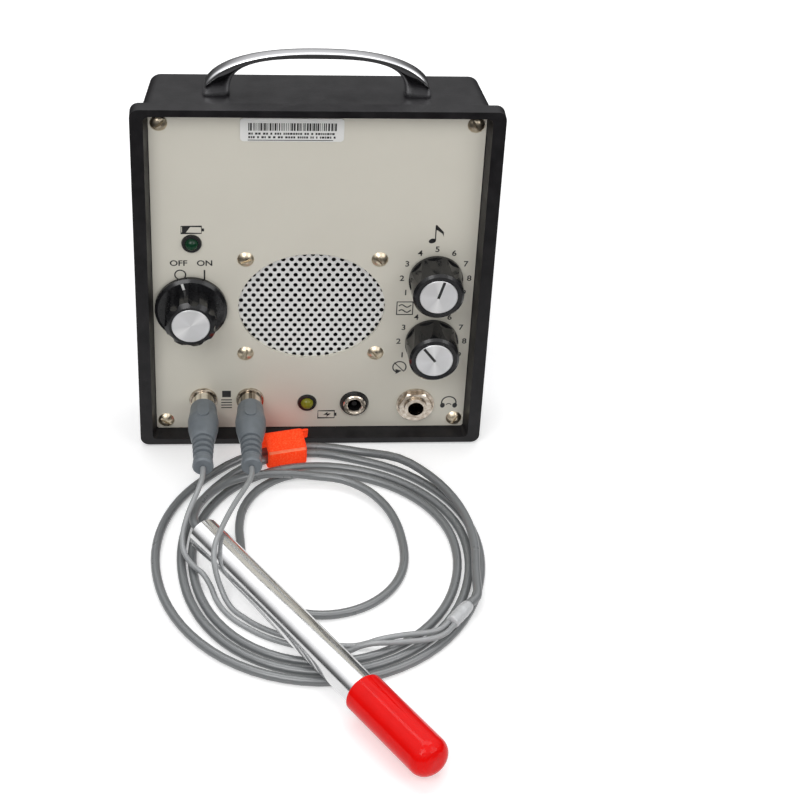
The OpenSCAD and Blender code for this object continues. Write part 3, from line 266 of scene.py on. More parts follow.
def spun(name, angle):
    """Spun aluminium: fine turned rings, and a painted highlight in the base colour, in two bright wedges
    from the middle at the given angle.
    """
    m = Mat(name, (0.93, 0.93, 0.93), 0.30, 0.55)
    middle = m.coords("Generated", Location=(-0.5, -0.5, -0.5))
    rings = m.node("ShaderNodeTexWave", {"Vector": middle, "Scale": 9.0, "Distortion": 0.4},
                   wave_type="RINGS", rings_direction="Y")
    upright = m.node("ShaderNodeMapping", {"Vector": middle, "Rotation": (math.radians(90), 0, 0)})
    highlight_fan_turn = {"Vector": upright.outputs["Vector"], "Rotation": (0, 0, math.radians(angle))}
    highlight_fan_place = m.node("ShaderNodeMapping", highlight_fan_turn).outputs["Vector"]
    highlight_fan = m.node("ShaderNodeTexGradient", {"Vector": highlight_fan_place}, gradient_type="RADIAL")
    # Painted highlight: white at 0, 0.5 and 1 of the turn, duller between
    dull, bright = (0.78, 0.78, 0.785), (1.0, 1.0, 1.0)
    tone = m.ramp(highlight_fan.outputs["Fac"], [(0.0, bright), (0.09, dull), (0.22, (0.85, 0.85, 0.86)), (0.30, dull),
                                       (0.42, dull), (0.5, bright), (0.58, dull), (0.70, (0.8, 0.8, 0.81)),
                                       (0.80, dull), (0.92, dull), (1.0, bright)])
    return m.bump(rings.outputs["Fac"], 0.02, 0.35).drive("Base Color", tone).m


def plug_grey():
    m = Mat("plug_grey", (0.170, 0.192, 0.212), 0.46)
    return m.vary_color(260, 0.07).vary_rough(300, 0.08).bump(m.noise(1300), 0.03).m


def lead_grey():
    m = Mat("lead_grey", (0.32, 0.33, 0.335), 0.36, Specular_IOR_Level=0.8)
    return m.vary_color(80, 0.03).vary_rough(300, 0.03).bump(m.noise(700), 0.005).m


def cable_grey():
    m = Mat("cable_grey", (0.158, 0.166, 0.170), 0.30, Specular_IOR_Level=1.0)
    return m.vary_color(60, 0.03).vary_rough(260, 0.03).bump(m.noise(520), 0.006).m


def sleeve_clear():
    m = Mat("sleeve_clear", (0.55, 0.56, 0.57), 0.2, Coat_Weight=0.4)
    return m.vary_color(260, 0.08).vary_rough(260, 0.06).bump(m.noise(500), 0.05).m


def tie_orange():
    """A pile of short loops, with a painted glow: the tone also drives the emission, so the tape is brighter
    than the lamps alone make it.
    """
    m = Mat("tie_orange", (0.98, 0.060, 0.012), 0.85, Specular_IOR_Level=0.12, Emission_Strength=0.42)
    pile = m.noise(1500, 4.0, 0.7)
    tone = m.ramp(pile, [(0.3, (0.84, 0.040, 0.009)), (0.5, (1.0, 0.060, 0.013)),
                         (0.72, (1.0, 0.13, 0.045))])
    m.drive("Base Color", tone).drive("Emission Color", tone)
    return m.vary_rough(300, 0.08).bump(pile, 0.25, 0.9).m


# A lighter strip that glows: a painted highlight along the tie's fold
def tie_fold():
    m = Mat("tie_fold", (1.0, 0.20, 0.10), 0.8, Specular_IOR_Level=0.12,
            Emission_Color=(1.0, 0.17, 0.08, 1.0), Emission_Strength=0.3)
    return m.vary_color(900, 0.2).vary_rough(300, 0.06).bump(m.noise(1500), 0.1).m


def cap_red():
    m = Mat("cap_red", (0.86, 0.004, 0.003), 0.09, Specular_IOR_Level=0.16)
    return m.vary_color(160, 0.04).vary_rough(200, 0.04).bump(m.noise(150, 2.0), 0.06, 0.5).m


def lens(name, color, glow):
    m = Mat(name, color, 0.10, Specular_IOR_Level=0.3, Emission_Color=(*glow, 1.0), Emission_Strength=0.05)
    return m.vary_color(500, 0.12).bump(m.noise(600, 2.0), 0.02).m


ink = printed("ink", (0.018, 0.018, 0.018), 0.5, 0.25)
white_ink = printed("white_ink", (0.80, 0.80, 0.78), 0.45, 0.03)
collar = collar_nickel()
# Each angle turns the painted highlight on its disc
spun_discs = {"power_knob_disc": spun("disc_power", 40), "volume_knob_disc": spun("disc_volume", 84),
              "suppression_knob_disc": spun("disc_suppression", 96)}

materials = {
    "case_plastic": case_plastic(),
    "foot_rubber": simple("foot_rubber", (0.018, 0.018, 0.018), 0.75, depth=0.04),
    "panel_paint": panel_paint(),
    "label_white": label_white(),
    "screw_brass": screw_brass(),
    "handle_chrome": handle_chrome(),
    "fixing_steel": fixing_steel(),
    "grille_metal": grille_metal(),
    "basket_metal": simple("basket_metal", (0.006, 0.006, 0.007), 0.7),
    "cone_paper": simple("cone_paper", (0.006, 0.006, 0.006), 0.9, grain=900, depth=0.08),
    "magnet_iron": simple("magnet_iron", (0.05, 0.05, 0.052), 0.6, 0.5),
    "control_body": simple("control_body", (0.12, 0.115, 0.105), 0.5),
    "knob_black": knob_black(),
    "disc_aluminium": spun_discs["power_knob_disc"],
    "lens_green": lens("lens_green", (0.004, 0.034, 0.014), (0.01, 0.12, 0.05)),
    "lens_yellow": lens("lens_yellow", (0.20, 0.19, 0.008), (0.30, 0.32, 0.03)),
    "holder_black": simple("holder_black", (0.012, 0.012, 0.012), 0.28),
    "socket_nickel": socket_nickel(),
    "jack_black": simple("jack_black", (0.010, 0.010, 0.010), 0.26, depth=0.015),
    "board_green": simple("board_green", (0.020, 0.120, 0.045), 0.35),
    "component_black": simple("component_black", (0.02, 0.02, 0.02), 0.45),
    "cell_sleeve": simple("cell_sleeve", (0.03, 0.10, 0.26), 0.3),
    "plug_grey": plug_grey(),
    "lead_grey": lead_grey(),
    "cable_grey": cable_grey(),
    "sleeve_clear": sleeve_clear(),
    "tie_orange": tie_orange(),
    "tube_steel": tube_steel(),
    "face_resin": simple("face_resin", (0.10, 0.07, 0.05), 0.35, depth=0.03),
    "bushing_black": simple("bushing_black", (0.018, 0.018, 0.018), 0.6),
    "cap_red": cap_red(),
}

own_looks = dict(spun_discs, plug_collar_left=collar, plug_collar_right=collar)
slot_of = {part["node"]: part["material_slot"] for part in frame["record"]["subparts"]}
for node_name, node_ob in nodes.items():
    look = own_looks.get(node_name) or materials[slot_of[node_name]]
    if not node_ob.material_slots:
        node_ob.data.materials.append(look)
    for slot in node_ob.material_slots:
        slot.material = look

# Helpers for new pieces


def new_piece(name, data, body):
    ob = bpy.data.objects.new(name, data)
    bpy.context.collection.objects.link(ob)
    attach(ob, body)
    return ob


def mesh_piece(name, verts, faces, slot, body="unit", look=None, smooth=False):
    """A piece with the look of its slot, unless another is given."""
    me = bpy.data.meshes.new(name)
    me.from_pydata([tuple(v) for v in verts], [], faces)
    me.update()
    me.materials.append(look or materials[slot])
    if smooth:
        me.shade_smooth()
    return new_piece(name, me, body)


def ring_tube(path, radius_at, sides):
    """Vertices and faces of a closed tube, whose radius is a function of the share of the path."""
    verts, faces = [], []
    last = len(path) - 1
    side = (path[1] - path[0]).normalized().cross(Vector((0, 0, 1))).normalized()
    for i, p in enumerate(path):
        ahead = (path[min(i + 1, last)] - path[max(i - 1, 0)]).normalized()
        side = (side - ahead * side.dot(ahead)).normalized()
        rise_way = ahead.cross(side)
        r = radius_at(i / last)
        for k in range(sides):
            a = 2 * math.pi * k / sides
            verts.append(p + side * (r * math.cos(a)) + rise_way * (r * math.sin(a)))
    for i in range(last):
        for k in range(sides):
            a, b = i * sides + k, i * sides + (k + 1) % sides
            faces.append((a, b, b + sides, a + sides))
    faces.append(tuple(reversed(range(sides))))
    faces.append(tuple(range(last * sides, (last + 1) * sides)))
    return verts, faces


# Cords: the points are those of the part's source

CABLE_R = 1.75
LEAD_R = 1.05
PROBE_R = 6.35
FLOOR_GAP = 0.05
SEAT = 0.02
FLOOR_Z = CABLE_R + FLOOR_GAP
PROBE_TURN = math.radians(-57.6)
PROBE_REAR = Vector((-43.7, -68.7, 2 * CABLE_R + FLOOR_GAP + SEAT + PROBE_R))
PROBE_DIR = Vector((math.cos(PROBE_TURN), math.sin(PROBE_TURN), 0.0))

LEAD_LEFT = [
    (-44.2, -40, 19.3), (-44.2, -43, 19.3), (-44.8, -47.5, 18.8), (-46.4, -52.5, 17.2), (-48.6, -57.5, 14.8),
    (-50.6, -62.5, 11.8), (-51.8, -67.5, 8.8), (-51.8, -72.5, 6.8), (-50.4, -77.5, 5.9), (-47.6, -82.5, 5.5),
    (-44, -86.6, 5), (-41.2, -91, 2.6), (-39.4, -96.4, 1.3), (-36.8, -102.3, 1.2), (-32.8, -108, 1.2),
    (-27.5, -113, 1.2), (-21.5, -117.5, 1.2), (-14.5, -121, 1.2), (-7, -123.8, 1.2), (1, -125.6, 1.2),
    (8, -126.3, 1.4), (12.5, -126.5, 3.9), (17.5, -126.9, 5.7), (24, -127, 6), (30, -126.8, 6.2),
    (36, -126.2, 6.3), (41, -124.8, 6.35), (44.4, -122.5, 6.35), (46.3, -120.1, 6.35), (47.8, -118.1, 6.35)]
LEAD_RIGHT = [
    (-25.2, -40, 19.3), (-25.2, -43, 19.3), (-26, -48, 19.6), (-28.2, -54, 19.8), (-30.8, -60, 19.8),
    (-33.3, -66, 19.5), (-35.6, -72, 19), (-37.6, -78, 18.5), (-39.4, -83.5, 17.2), (-40, -88, 13.6),
    (-39, -91.5, 8.8), (-37.2, -95, 4.6), (-35.2, -98.8, 2), (-32.6, -103, 1.2), (-29, -107, 1.2),
    (-24.5, -111.2, 1.2), (-18.5, -115.2, 1.2), (-12, -118.4, 1.2), (-5, -121, 1.2), (2.5, -122.6, 1.2),
    (10, -123.3, 1.2), (15, -123.6, 2.6), (19.5, -123.8, 4.6), (24.5, -123.6, 5.7), (30, -123.1, 6.2),
    (35, -122.7, 6.3), (39.4, -121.9, 6.35), (42.4, -120.4, 6.35), (44.3, -118.5, 6.35), (45.8, -116.5, 6.35)]

TIE_T, TIE_CLEAR = 1.3, 0.25
TIE_LIFT = FLOOR_GAP + TIE_T + CABLE_R + TIE_CLEAR
SLEEVE_L = 12.0
CROSSING_Z = 6.35
SLEEVE_END = Vector((54, -107.7, CROSSING_Z))
SLEEVE_DIR = Vector((0.6, 0.8, 0))
# The cable leaves the sleeve in two steps straight out, and drifts a little aside at the second
LEAD_IN, LEAD_DRIFT = 3.5, 0.3

LOOP_MID = Vector((0, -72, 0))
# The coil's distance from its middle at each quarter turn, from the one before its first full turn
LOOP_REACH = [74, 60, 66.5, 62.3, 70.2, 62.3, 62, 52.5, 65.5, 57.8,
              55.2, 48.3, 60.5, 53.3, 51.1, 29.5, 35, 33, 45]
LOOP_START = -0.05
LOOP_TURNS = 4.25
LOOP_RINGS = 24
# Along the turns: where the cable comes down from the crossing, and where its last part climbs to the probe
DOWN_AT, DOWN_OVER = 0.15, 0.08
CLIMB_AT, CLIMB_Z = 4.02, 4.8
# The turns before TIED_TURNS pass through the tie at TIE_AT of each turn, raised there over a short run with
# a slope on either side
TIED_TURNS, TIE_AT, TIE_RUN, TIE_SLOPE = 1.5, 0.28, 0.03, 0.05
# From the coil up to the probe's rear, which the cable meets straight
TAIL = [(-8, -27.1, 6), (-16, -27.3, 6.4), (-25, -28.9, 6.7), (-33, -32.6, 7.1), (-39.5, -38.6, 7.6),
        (-44.3, -46, 8.3), (-47.3, -53.5, 9.3)]
TAIL_STRAIGHT = (8, 4, 0)


def ease(a, b, t):
    """From a to b with level ends, as t goes from 0 to 1."""
    return a + (b - a) * (1 - math.cos(math.pi * min(max(t, 0.0), 1.0))) / 2


def reach(t):
    """How far the cable is from the coil's middle after t turns."""
    q = (t + 0.25) * 4
    i = min(int(q), len(LOOP_REACH) - 1)
    return ease(LOOP_REACH[i], LOOP_REACH[min(i + 1, len(LOOP_REACH) - 1)], q - i)


def rise(t):
    """Height of the cable's middle after t turns, where no tie lifts it."""
    if t < 0.5:
        return ease(CROSSING_Z, FLOOR_Z, (t - DOWN_AT) / DOWN_OVER)
    return ease(FLOOR_Z, CLIMB_Z, (t - CLIMB_AT) / (LOOP_TURNS - CLIMB_AT))


def tie_rise(t):
    """How far the tie's lower side lifts the cable off the floor."""
    if t >= TIED_TURNS:
        return 0.0
    return ease(TIE_LIFT - FLOOR_Z, 0.0, (abs(t - math.floor(t) - TIE_AT) - TIE_RUN) / TIE_SLOPE)


def loop_point(t):
    """The cable's middle after t turns."""
    a, r = 2 * math.pi * t, reach(t)
    return Vector((LOOP_MID.x + r * math.cos(a), LOOP_MID.y + r * math.sin(a), rise(t) + tie_rise(t)))


def smooth_path(points, steps):
    """A smooth curve through the points, with the given number of steps from each to the next."""
    p = [Vector(q) for q in points]
    out = []
    for i in range(len(p) - 1):
        a, b, c, d = p[max(i - 1, 0)], p[i], p[i + 1], p[min(i + 2, len(p) - 1)]
        for j in range(steps):
            t = j / steps
            out.append(0.5 * (2 * b + (c - a) * t + (2 * a - 5 * b + 4 * c - d) * t * t
                              + (3 * b - a - 3 * c + d) * t ** 3))
    return out + [p[-1]]


def distinct(points, least=0.4):
    """The points without those that lie closer than the least distance to the one before."""
    out = [points[0]]
    for p in points[1:]:
        if (p - out[-1]).length > least:
            out.append(p)
    return out


def eased_ends(points, count=11, rounds=4):
    """Round off the corners of a path within count points of its two ends. The end points stay."""
    pts = list(points)
    last = len(pts) - 1
    for _ in range(rounds):
        old = list(pts)
        for i in range(1, last):
            if i < count or i > last - count:
                pts[i] = (old[i - 1] + 2 * old[i] + old[i + 1]) * 0.25
    return pts


def cable_route():
    """From the probe's rear, round the coil, to the sleeve."""
    steps = round((LOOP_TURNS - LOOP_START) * LOOP_RINGS)
    lead_in = [SLEEVE_END, SLEEVE_END + LEAD_IN * SLEEVE_DIR,
               SLEEVE_END + 2 * LEAD_IN * SLEEVE_DIR + Vector((LEAD_DRIFT, 0, 0))]
    loops = [loop_point(LOOP_START + (LOOP_TURNS - LOOP_START) * i / steps) for i in range(steps + 1)]
    tail = [Vector(p) for p in TAIL] + [PROBE_REAR - back * PROBE_DIR for back in TAIL_STRAIGHT]
    return eased_ends(distinct(smooth_path(lead_in + loops + tail, steps=3)))[::-1]


def lead_route(points):
    """From the sleeve to the plug."""
    return distinct(smooth_path(points, steps=5))[::-1]


def cord_piece(name, path, radius, slot, node):
    curve = bpy.data.curves.new(name, "CURVE")
    curve.dimensions = "3D"
    curve.bevel_depth = radius * MM
    curve.bevel_resolution = 6
    curve.use_fill_caps = True
    curve.twist_mode = "MINIMUM"
    spline = curve.splines.new("POLY")
    spline.points.add(len(path) - 1)
    for point, p in zip(spline.points, path):
        point.co = (*place(*p), 1.0)
    curve.materials.append(materials[slot])
    ob = new_piece(name, curve, "unit")
    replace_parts(ob, node)
    return ob


cable_path = cable_route()
left_path = lead_route(LEAD_LEFT)
right_path = lead_route(LEAD_RIGHT)
cable_ob = cord_piece("cable", cable_path, CABLE_R, "cable_grey", "probe_cable")
left_ob = cord_piece("left_lead", left_path, LEAD_R, "lead_grey", "lead_left")
right_ob = cord_piece("right_lead", right_path, LEAD_R, "lead_grey", "lead_right")

# The sleeve: shrunk over the split, a little uneven, with a narrow mouth and a neck on the cable

SLEEVE_R = 2.62
SLEEVE_STEPS = 24


def sleeve_radius(t):
    wave = 0.05 * math.sin(t * 23) + 0.04 * math.sin(t * 41 + 1)
    mouth = 0.25 * max(0.0, 1 - t / 0.08)
    neck = 0.45 * max(0.0, (t - 0.72) / 0.28) ** 1.5
    return (SLEEVE_R + wave - mouth - neck) * MM


sleeve_path = [SLEEVE_END - SLEEVE_DIR * SLEEVE_L * (1 - i / SLEEVE_STEPS) for i in range(SLEEVE_STEPS + 1)]
sleeve_mesh = ring_tube([place(*p) for p in sleeve_path], sleeve_radius, sides=28)
sleeve_ob = mesh_piece("split_sleeve", *sleeve_mesh, "sleeve_clear", smooth=True)
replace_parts(sleeve_ob, "junction_sleeve")

# The tie: a strip bent round the two strands and pressed onto itself, with its end sticking out

TIE_PLACE = Vector((-11.5, -9.45, FLOOR_GAP))
TIE_TURN = math.radians(13)
TIE_W, TIE_R = 16.0, 2.4
# Middles of the band's corners, across the strands and up, and where each corner's arc starts and ends
TIE_CORNERS = [(-3.7, 2.4, 180, 270), (3.7, 2.4, 270, 371.2),
               (2.2, 9.9, 11.2, 114.4), (-3.7, 7.2, 114.4, 180)]
CORNER_STEPS = 6
# A strip keeps this share of its thickness at its two long edges
STRIP_EDGE = 0.55
# The strap's end: its foot across and up, how it leans, and how far it stands out at the rear
TAB_X, TAB_Z, TAB_LEAN, TAB_STEPS = 5.35, 5.9, 0.2, 5
TAB_T, TAB_W, TAB_OUT = 1.2, 4.0, 1.2
# A painted highlight strip lies just over the band's upper left corner, along its fold
FOLD_ANGLES = (136, 146, 156, 164)
FOLD_OUT, FOLD_T, FOLD_W = 0.03, 0.1, TIE_W - 0.6


def tie_outline():
    """Middle line of the strip in its own plane: across the strands, and up."""
    r = TIE_R - TIE_T / 2
    pts = []
    for cx, cz, a0, a1 in TIE_CORNERS:
        for k in range(CORNER_STEPS + 1):
            a = math.radians(a0 + (a1 - a0) * k / CORNER_STEPS)
            pts.append((cx + r * math.cos(a), cz + r * math.sin(a)))
    return pts


def tie_point(across, high, along):
    u = Vector((math.cos(TIE_TURN), math.sin(TIE_TURN), 0))
    v = Vector((-math.sin(TIE_TURN), math.cos(TIE_TURN), 0))
    return place(*(TIE_PLACE + u * along + v * across + Vector((0, 0, high))))


def strip_mesh(line, closed, thick, width, rows=16, shift=0.0):
    """A strip of the given thickness and width along a line in the tie's plane."""
    verts, faces = [], []
    n = len(line)
    for side in (-1, 1):
        for i, (a, b) in enumerate(line):
            p0 = Vector(line[(i - 1) % n] if closed or i else line[0])
            p1 = Vector(line[(i + 1) % n] if closed or i < n - 1 else line[-1])
            ahead = (p1 - p0).normalized()
            out = Vector((ahead.y, -ahead.x))
            for r in range(rows + 1):
                edge = 1.0 if 0 < r < rows else STRIP_EDGE
                q = Vector((a, b)) + out * (thick / 2 * side * edge)
                verts.append(tie_point(q.x, q.y, (r / rows - 0.5) * width + shift))
    m = rows + 1
    off = n * m
    for i in range(n if closed else n - 1):
        j = (i + 1) % n
        for r in range(rows):
            faces.append((i * m + r, j * m + r, j * m + r + 1, i * m + r + 1))
            faces.append((off + i * m + r, off + i * m + r + 1, off + j * m + r + 1, off + j * m + r))
        faces.append((i * m, off + i * m, off + j * m, j * m))
        faces.append((i * m + rows, j * m + rows, off + j * m + rows, off + i * m + rows))
    if not closed:
        for i in (0, n - 1):
            for r in range(rows):
                q = (i * m + r, i * m + r + 1, off + i * m + r + 1, off + i * m + r)
                faces.append(q if i else q[::-1])
    return verts, faces


def tie_mesh():
    """The band and the strap's end in one mesh."""
    verts, faces = strip_mesh(tie_outline(), True, TIE_T, TIE_W)
    tab = [(TAB_X - TAB_LEAN * k, TAB_Z + k) for k in range(TAB_STEPS)]
    tab_verts, tab_faces = strip_mesh(tab, False, TAB_T, TAB_W, rows=6, shift=TIE_W / 2 + TAB_OUT)
    return verts + tab_verts, faces + [tuple(i + len(verts) for i in f) for f in tab_faces]


def fold_mesh():
    cx, cz = TIE_CORNERS[3][:2]
    r = TIE_R + FOLD_OUT
    line = [(cx + r * math.cos(math.radians(a)), cz + r * math.sin(math.radians(a))) for a in FOLD_ANGLES]
    return strip_mesh(line, False, FOLD_T, FOLD_W)


tie_ob = mesh_piece("loop_tie", *tie_mesh(), "tie_orange", smooth=True)
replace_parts(tie_ob, "cable_tie")
fold_highlight_ob = mesh_piece("tie_fold", *fold_mesh(), "tie_orange", look=tie_fold(), smooth=True)

# Softened edges on the carried pieces

SOFT_EDGES = {"case_shell": 0.45, "power_knob": 0.25, "volume_knob": 0.25, "suppression_knob": 0.25,
              "headphone_nut": 0.15, "label_plate": 0.08, "front_panel": 0.12}
for node_name, edge_width in SOFT_EDGES.items():
    soft_edge = nodes[node_name].modifiers.new("soft_edge", "BEVEL")
    soft_edge.width = edge_width * MM
    soft_edge.segments = 2
    soft_edge.limit_method = "ANGLE"
    soft_edge.angle_limit = math.radians(30)
    soft_edge.harden_normals = True

# Handle: the node's arch, with the rounded section of a plated strap

HANDLE_SPAN, HANDLE_H, HANDLE_FOOT, HANDLE_MID_T = 76.2, 17.5, 10.4, 2.6
HANDLE_FOOT_D, HANDLE_MID_D, HANDLE_Y, BODY_TOP = 7.5, 5.2, 21.0, 151.0
HANDLE_REACH = (HANDLE_SPAN + HANDLE_FOOT) / 2
STRAP_SIDES = 28
# Powers of the arch's outer and inner curves, of the strap's growth to its feet, and of its section, which
# is a ring pressed nearly flat on each face
OUTER_POWER, INNER_POWER, FOOT_POWER, SECTION_POWER = 2.25, 3.2, 2.5, 0.42


def arch(half_span, height, power, steps=72):
    """Half of a rounded rectangle that stands on its two ends. The power makes its corners fuller."""
    pts = []
    for i in range(steps + 1):
        c, s = math.cos(math.pi * i / steps), math.sin(math.pi * i / steps)
        x = -math.copysign(abs(c) ** (2 / power), c) * half_span
        pts.append(Vector((x, height * max(s, 0.0) ** (2 / power))))
    return pts


def pressed(value):
    """Moves a sine or cosine towards 1 or -1, which flattens the sides of a ring."""
    return math.copysign(abs(value) ** SECTION_POWER, value)


def strap():
    outer = arch(HANDLE_REACH, HANDLE_H, OUTER_POWER)
    inner = arch((HANDLE_SPAN - HANDLE_FOOT) / 2, HANDLE_H - HANDLE_MID_T, INNER_POWER)
    verts, faces = [], []
    for a, b in zip(outer, inner):
        for k in range(STRAP_SIDES):
            turn = 2 * math.pi * (k + 0.5) / STRAP_SIDES
            p = b + (a - b) * (pressed(math.sin(turn)) * 0.5 + 0.5)
            share = min(1.0, abs(p.x) / (HANDLE_REACH + 1))
            half = (HANDLE_MID_D + (HANDLE_FOOT_D - HANDLE_MID_D) * share ** FOOT_POWER) / 2
            verts.append(place(p.x, HANDLE_Y + pressed(math.cos(turn)) * half, BODY_TOP + p.y))
    last = len(outer) - 1
    for i in range(last):
        for k in range(STRAP_SIDES):
            a, b = i * STRAP_SIDES + k, i * STRAP_SIDES + (k + 1) % STRAP_SIDES
            faces.append((a, a + STRAP_SIDES, b + STRAP_SIDES, b))
    faces.append(tuple(range(STRAP_SIDES)))
    faces.append(tuple(reversed(range(last * STRAP_SIDES, (last + 1) * STRAP_SIDES))))
    return verts, faces


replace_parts(mesh_piece("handle_strap", *strap(), "handle_chrome", smooth=True), "handle")

# Bright rings of the sockets: each profile is a closed line of radius and distance from the panel

PROBE_SOCKETS = {"left": (-44.2, 19.3), "right": (-25.2, 19.3)}
CHARGER = (17.7, 17.0)
SOCKET_LIP = [(4.98, 0.03), (5.7, 0.03), (5.7, 0.8), (5.45, 1.3), (4.98, 1.3)]
CHARGER_RING = [(2.85, 1.42), (4.75, 1.42), (4.75, 1.7), (4.3, 2.1), (3.7, 2.15), (3.5, 1.9), (3.2, 1.95),
                (2.85, 1.75)]


def turned(name, centre, profile, sides=48):
    """A nickel ring turned about the axis that leaves the panel at the centre."""
    verts, faces = [], []
    n = len(profile)
    for k in range(sides):
        a = 2 * math.pi * k / sides
        for r, out in profile:
            verts.append(on_panel(centre[0] + r * math.cos(a), centre[1] + r * math.sin(a), out))
    for k in range(sides):
        j = (k + 1) % sides
        for i in range(n):
            m = (i + 1) % n
            faces.append((k * n + i, k * n + m, j * n + m, j * n + i))
    mesh_piece(name, verts, faces, "socket_nickel")


for side_name, socket_place in PROBE_SOCKETS.items():
    turned("socket_lip_" + side_name, socket_place, SOCKET_LIP)
turned("charger_ring", CHARGER, CHARGER_RING)

# Print on the panel, the label and the knobs

PRINT_OUT = 0.035
WORD_BOLD = 0.018


class Print:
    """Flat marks on a surface that faces the front, gathered into one mesh."""

    def __init__(self, out=PRINT_OUT, centre=(0.0, 0.0), turn=0.0):
        self.verts, self.faces = [], []
        self.out, self.centre, self.turn = out, centre, turn

    def point(self, x, z):
        c, s = math.cos(self.turn), math.sin(self.turn)
        return on_panel(self.centre[0] + x * c - z * s, self.centre[1] + x * s + z * c, self.out)

    def poly(self, pts):
        base = len(self.verts)
        self.verts += [self.point(x, z) for x, z in pts]
        self.faces.append(tuple(range(base, base + len(pts))))

    def box(self, x0, z0, x1, z1):
        self.poly([(x0, z0), (x1, z0), (x1, z1), (x0, z1)])

    def line(self, pts, w, closed=False):
        pts = [Vector(p) for p in pts]
        n = len(pts)
        base = len(self.verts)
        for i, p in enumerate(pts):
            a = pts[(i - 1) % n] if closed or i else p
            b = pts[(i + 1) % n] if closed or i < n - 1 else p
            ahead = (b - a).normalized()
            out = Vector((-ahead.y, ahead.x)) * (w / 2)
            if closed or 0 < i < n - 1:
                # At a corner the line keeps its width, so its edge lies up to twice as far out
                before = (p - a).normalized()
                out = out / max(0.5, abs(Vector((-before.y, before.x)).dot(out.normalized())))
            self.verts += [self.point(*(p - out)), self.point(*(p + out))]
        for i in range(n if closed else n - 1):
            j = (i + 1) % n
            self.faces.append((base + 2 * i, base + 2 * j, base + 2 * j + 1, base + 2 * i + 1))

    def arc(self, cx, cz, r, a0, a1, w, steps=24):
        turns = [math.radians(a0 + (a1 - a0) * i / steps) for i in range(steps + 1)]
        self.line([(cx + r * math.cos(a), cz + r * math.sin(a)) for a in turns], w)

    def ring(self, cx, cz, r, w, steps=32):
        turns = [2 * math.pi * i / steps for i in range(steps)]
        self.line([(cx + r * math.cos(a), cz + r * math.sin(a)) for a in turns], w, closed=True)

    def disc(self, cx, cz, r, squash, tilt, steps=24):
        c, s = math.cos(tilt), math.sin(tilt)
        turns = [2 * math.pi * i / steps for i in range(steps)]
        oval = [(r * math.cos(a), r * squash * math.sin(a)) for a in turns]
        self.poly([(cx + x * c - z * s, cz + x * s + z * c) for x, z in oval])

    def word(self, text, cx, cz, size, stretch):
        curve = bpy.data.curves.new("word", "FONT")
        curve.body = text
        curve.size = size
        curve.offset = WORD_BOLD * size
        curve.align_x = "CENTER"
        curve.align_y = "CENTER"
        ob = bpy.data.objects.new("word", curve)
        bpy.context.collection.objects.link(ob)
        bpy.context.view_layer.update()
        me = bpy.data.meshes.new_from_object(ob.evaluated_get(bpy.context.evaluated_depsgraph_get()))
        base = len(self.verts)
        self.verts += [self.point(cx + v.co.x * stretch, cz + v.co.y) for v in me.vertices]
        self.faces += [tuple(base + i for i in p.vertices) for p in me.polygons]
        bpy.data.objects.remove(ob)
        bpy.data.meshes.remove(me)

    def make(self, name, slot, body="unit", look=ink):
        mesh_piece(name, self.verts, self.faces, slot, body, look)


POWER = (-48.6, 64.4)
VOLUME = (48.0, 77.6)
SUPPRESSION = (48.0, 47.6)
LETTER_H = 3.5
DIAL_R = 13.4
DIAL_STEP = 30
FRAME_W = 0.4

marks = Print()
# Dial numbers, five at the top and thirty degrees a step
for cx, cz in (VOLUME, SUPPRESSION):
    for number in range(11):
        a = math.radians(90 - DIAL_STEP * (number - 5))
        marks.word(str(number), cx + DIAL_R * math.cos(a), cz + DIAL_R * math.sin(a), LETTER_H, 1.08)

# Power switch: OFF and ON, with their signs
marks.word("OFF", -53.2, 84.6, LETTER_H, 1.12)
marks.word("ON", -43.0, 84.6, LETTER_H, 1.12)
marks.ring(-52.6, 79.4, 2.1, 0.5)
marks.box(-43.45, 77.2, -42.85, 81.6)

# Battery sign over the low-battery lamp
marks.line([(-52, 98.2), (-44.1, 98.2), (-44.1, 101.3), (-52, 101.3)], FRAME_W, closed=True)
marks.box(-44.0, 99.1, -43.1, 100.4)
marks.poly([(-51.6, 98.4), (-50.2, 98.4), (-48.4, 101.1), (-51.6, 101.1)])

# Note over the volume knob
marks.disc(45.7, 94.9, 1.45, 0.72, 0.35)
marks.box(46.65, 95.0, 47.1, 102.0)
marks.poly([(46.65, 102.0), (47.1, 102.2), (50.0, 98.9), (50.1, 96.8), (49.5, 98.2), (47.1, 100.0)])

# Filter sign by the suppression knob
marks.line([(33.2, 60.6), (39.6, 60.6), (39.6, 66.6), (33.2, 66.6)], 0.42, closed=True)
for wave_z in (62.3, 64.7):
    marks.line([(34.0 + 0.35 * i, wave_z + 0.6 * math.sin(i * 0.5)) for i in range(15)], 0.5)

# Turning arrow below it, with a stroke through it
marks.arc(35.6, 35.0, 2.7, -40, 250, 0.5)
marks.poly([(34.2, 31.6), (36.6, 33.2), (34.0, 34.0)])
marks.line([(33.4, 37.2), (37.6, 32.8)], 0.4)

# Probe sign: a small block over the waves that it sends
marks.box(-36.6, 20.4, -33.0, 23.6)
for k in range(4):
    marks.box(-37.0, 18.8 - 1.3 * k, -32.6, 19.3 - 1.3 * k)

# Charging sign between the lamp and the charger socket
marks.line([(2.8, 9.6), (9.6, 9.6), (9.6, 13.2), (2.8, 13.2)], FRAME_W, closed=True)
marks.box(9.7, 10.6, 10.5, 12.2)
marks.poly([(5.0, 11.1), (6.6, 11.1), (6.2, 10.0), (8.2, 11.8), (6.6, 11.8), (7.0, 12.8)])

# Headphone sign: the band, the two ear pieces and a short arc between them
marks.arc(57.0, 17.0, 3.0, -15, 195, 0.55)
for s in (-1, 1):
    marks.disc(57.0 + s * 2.55, 15.6, 1.25, 0.8, 1.45)
marks.arc(57.0, 15.4, 1.1, 20, 160, 0.4)

marks.make("panel_print", "panel_paint")

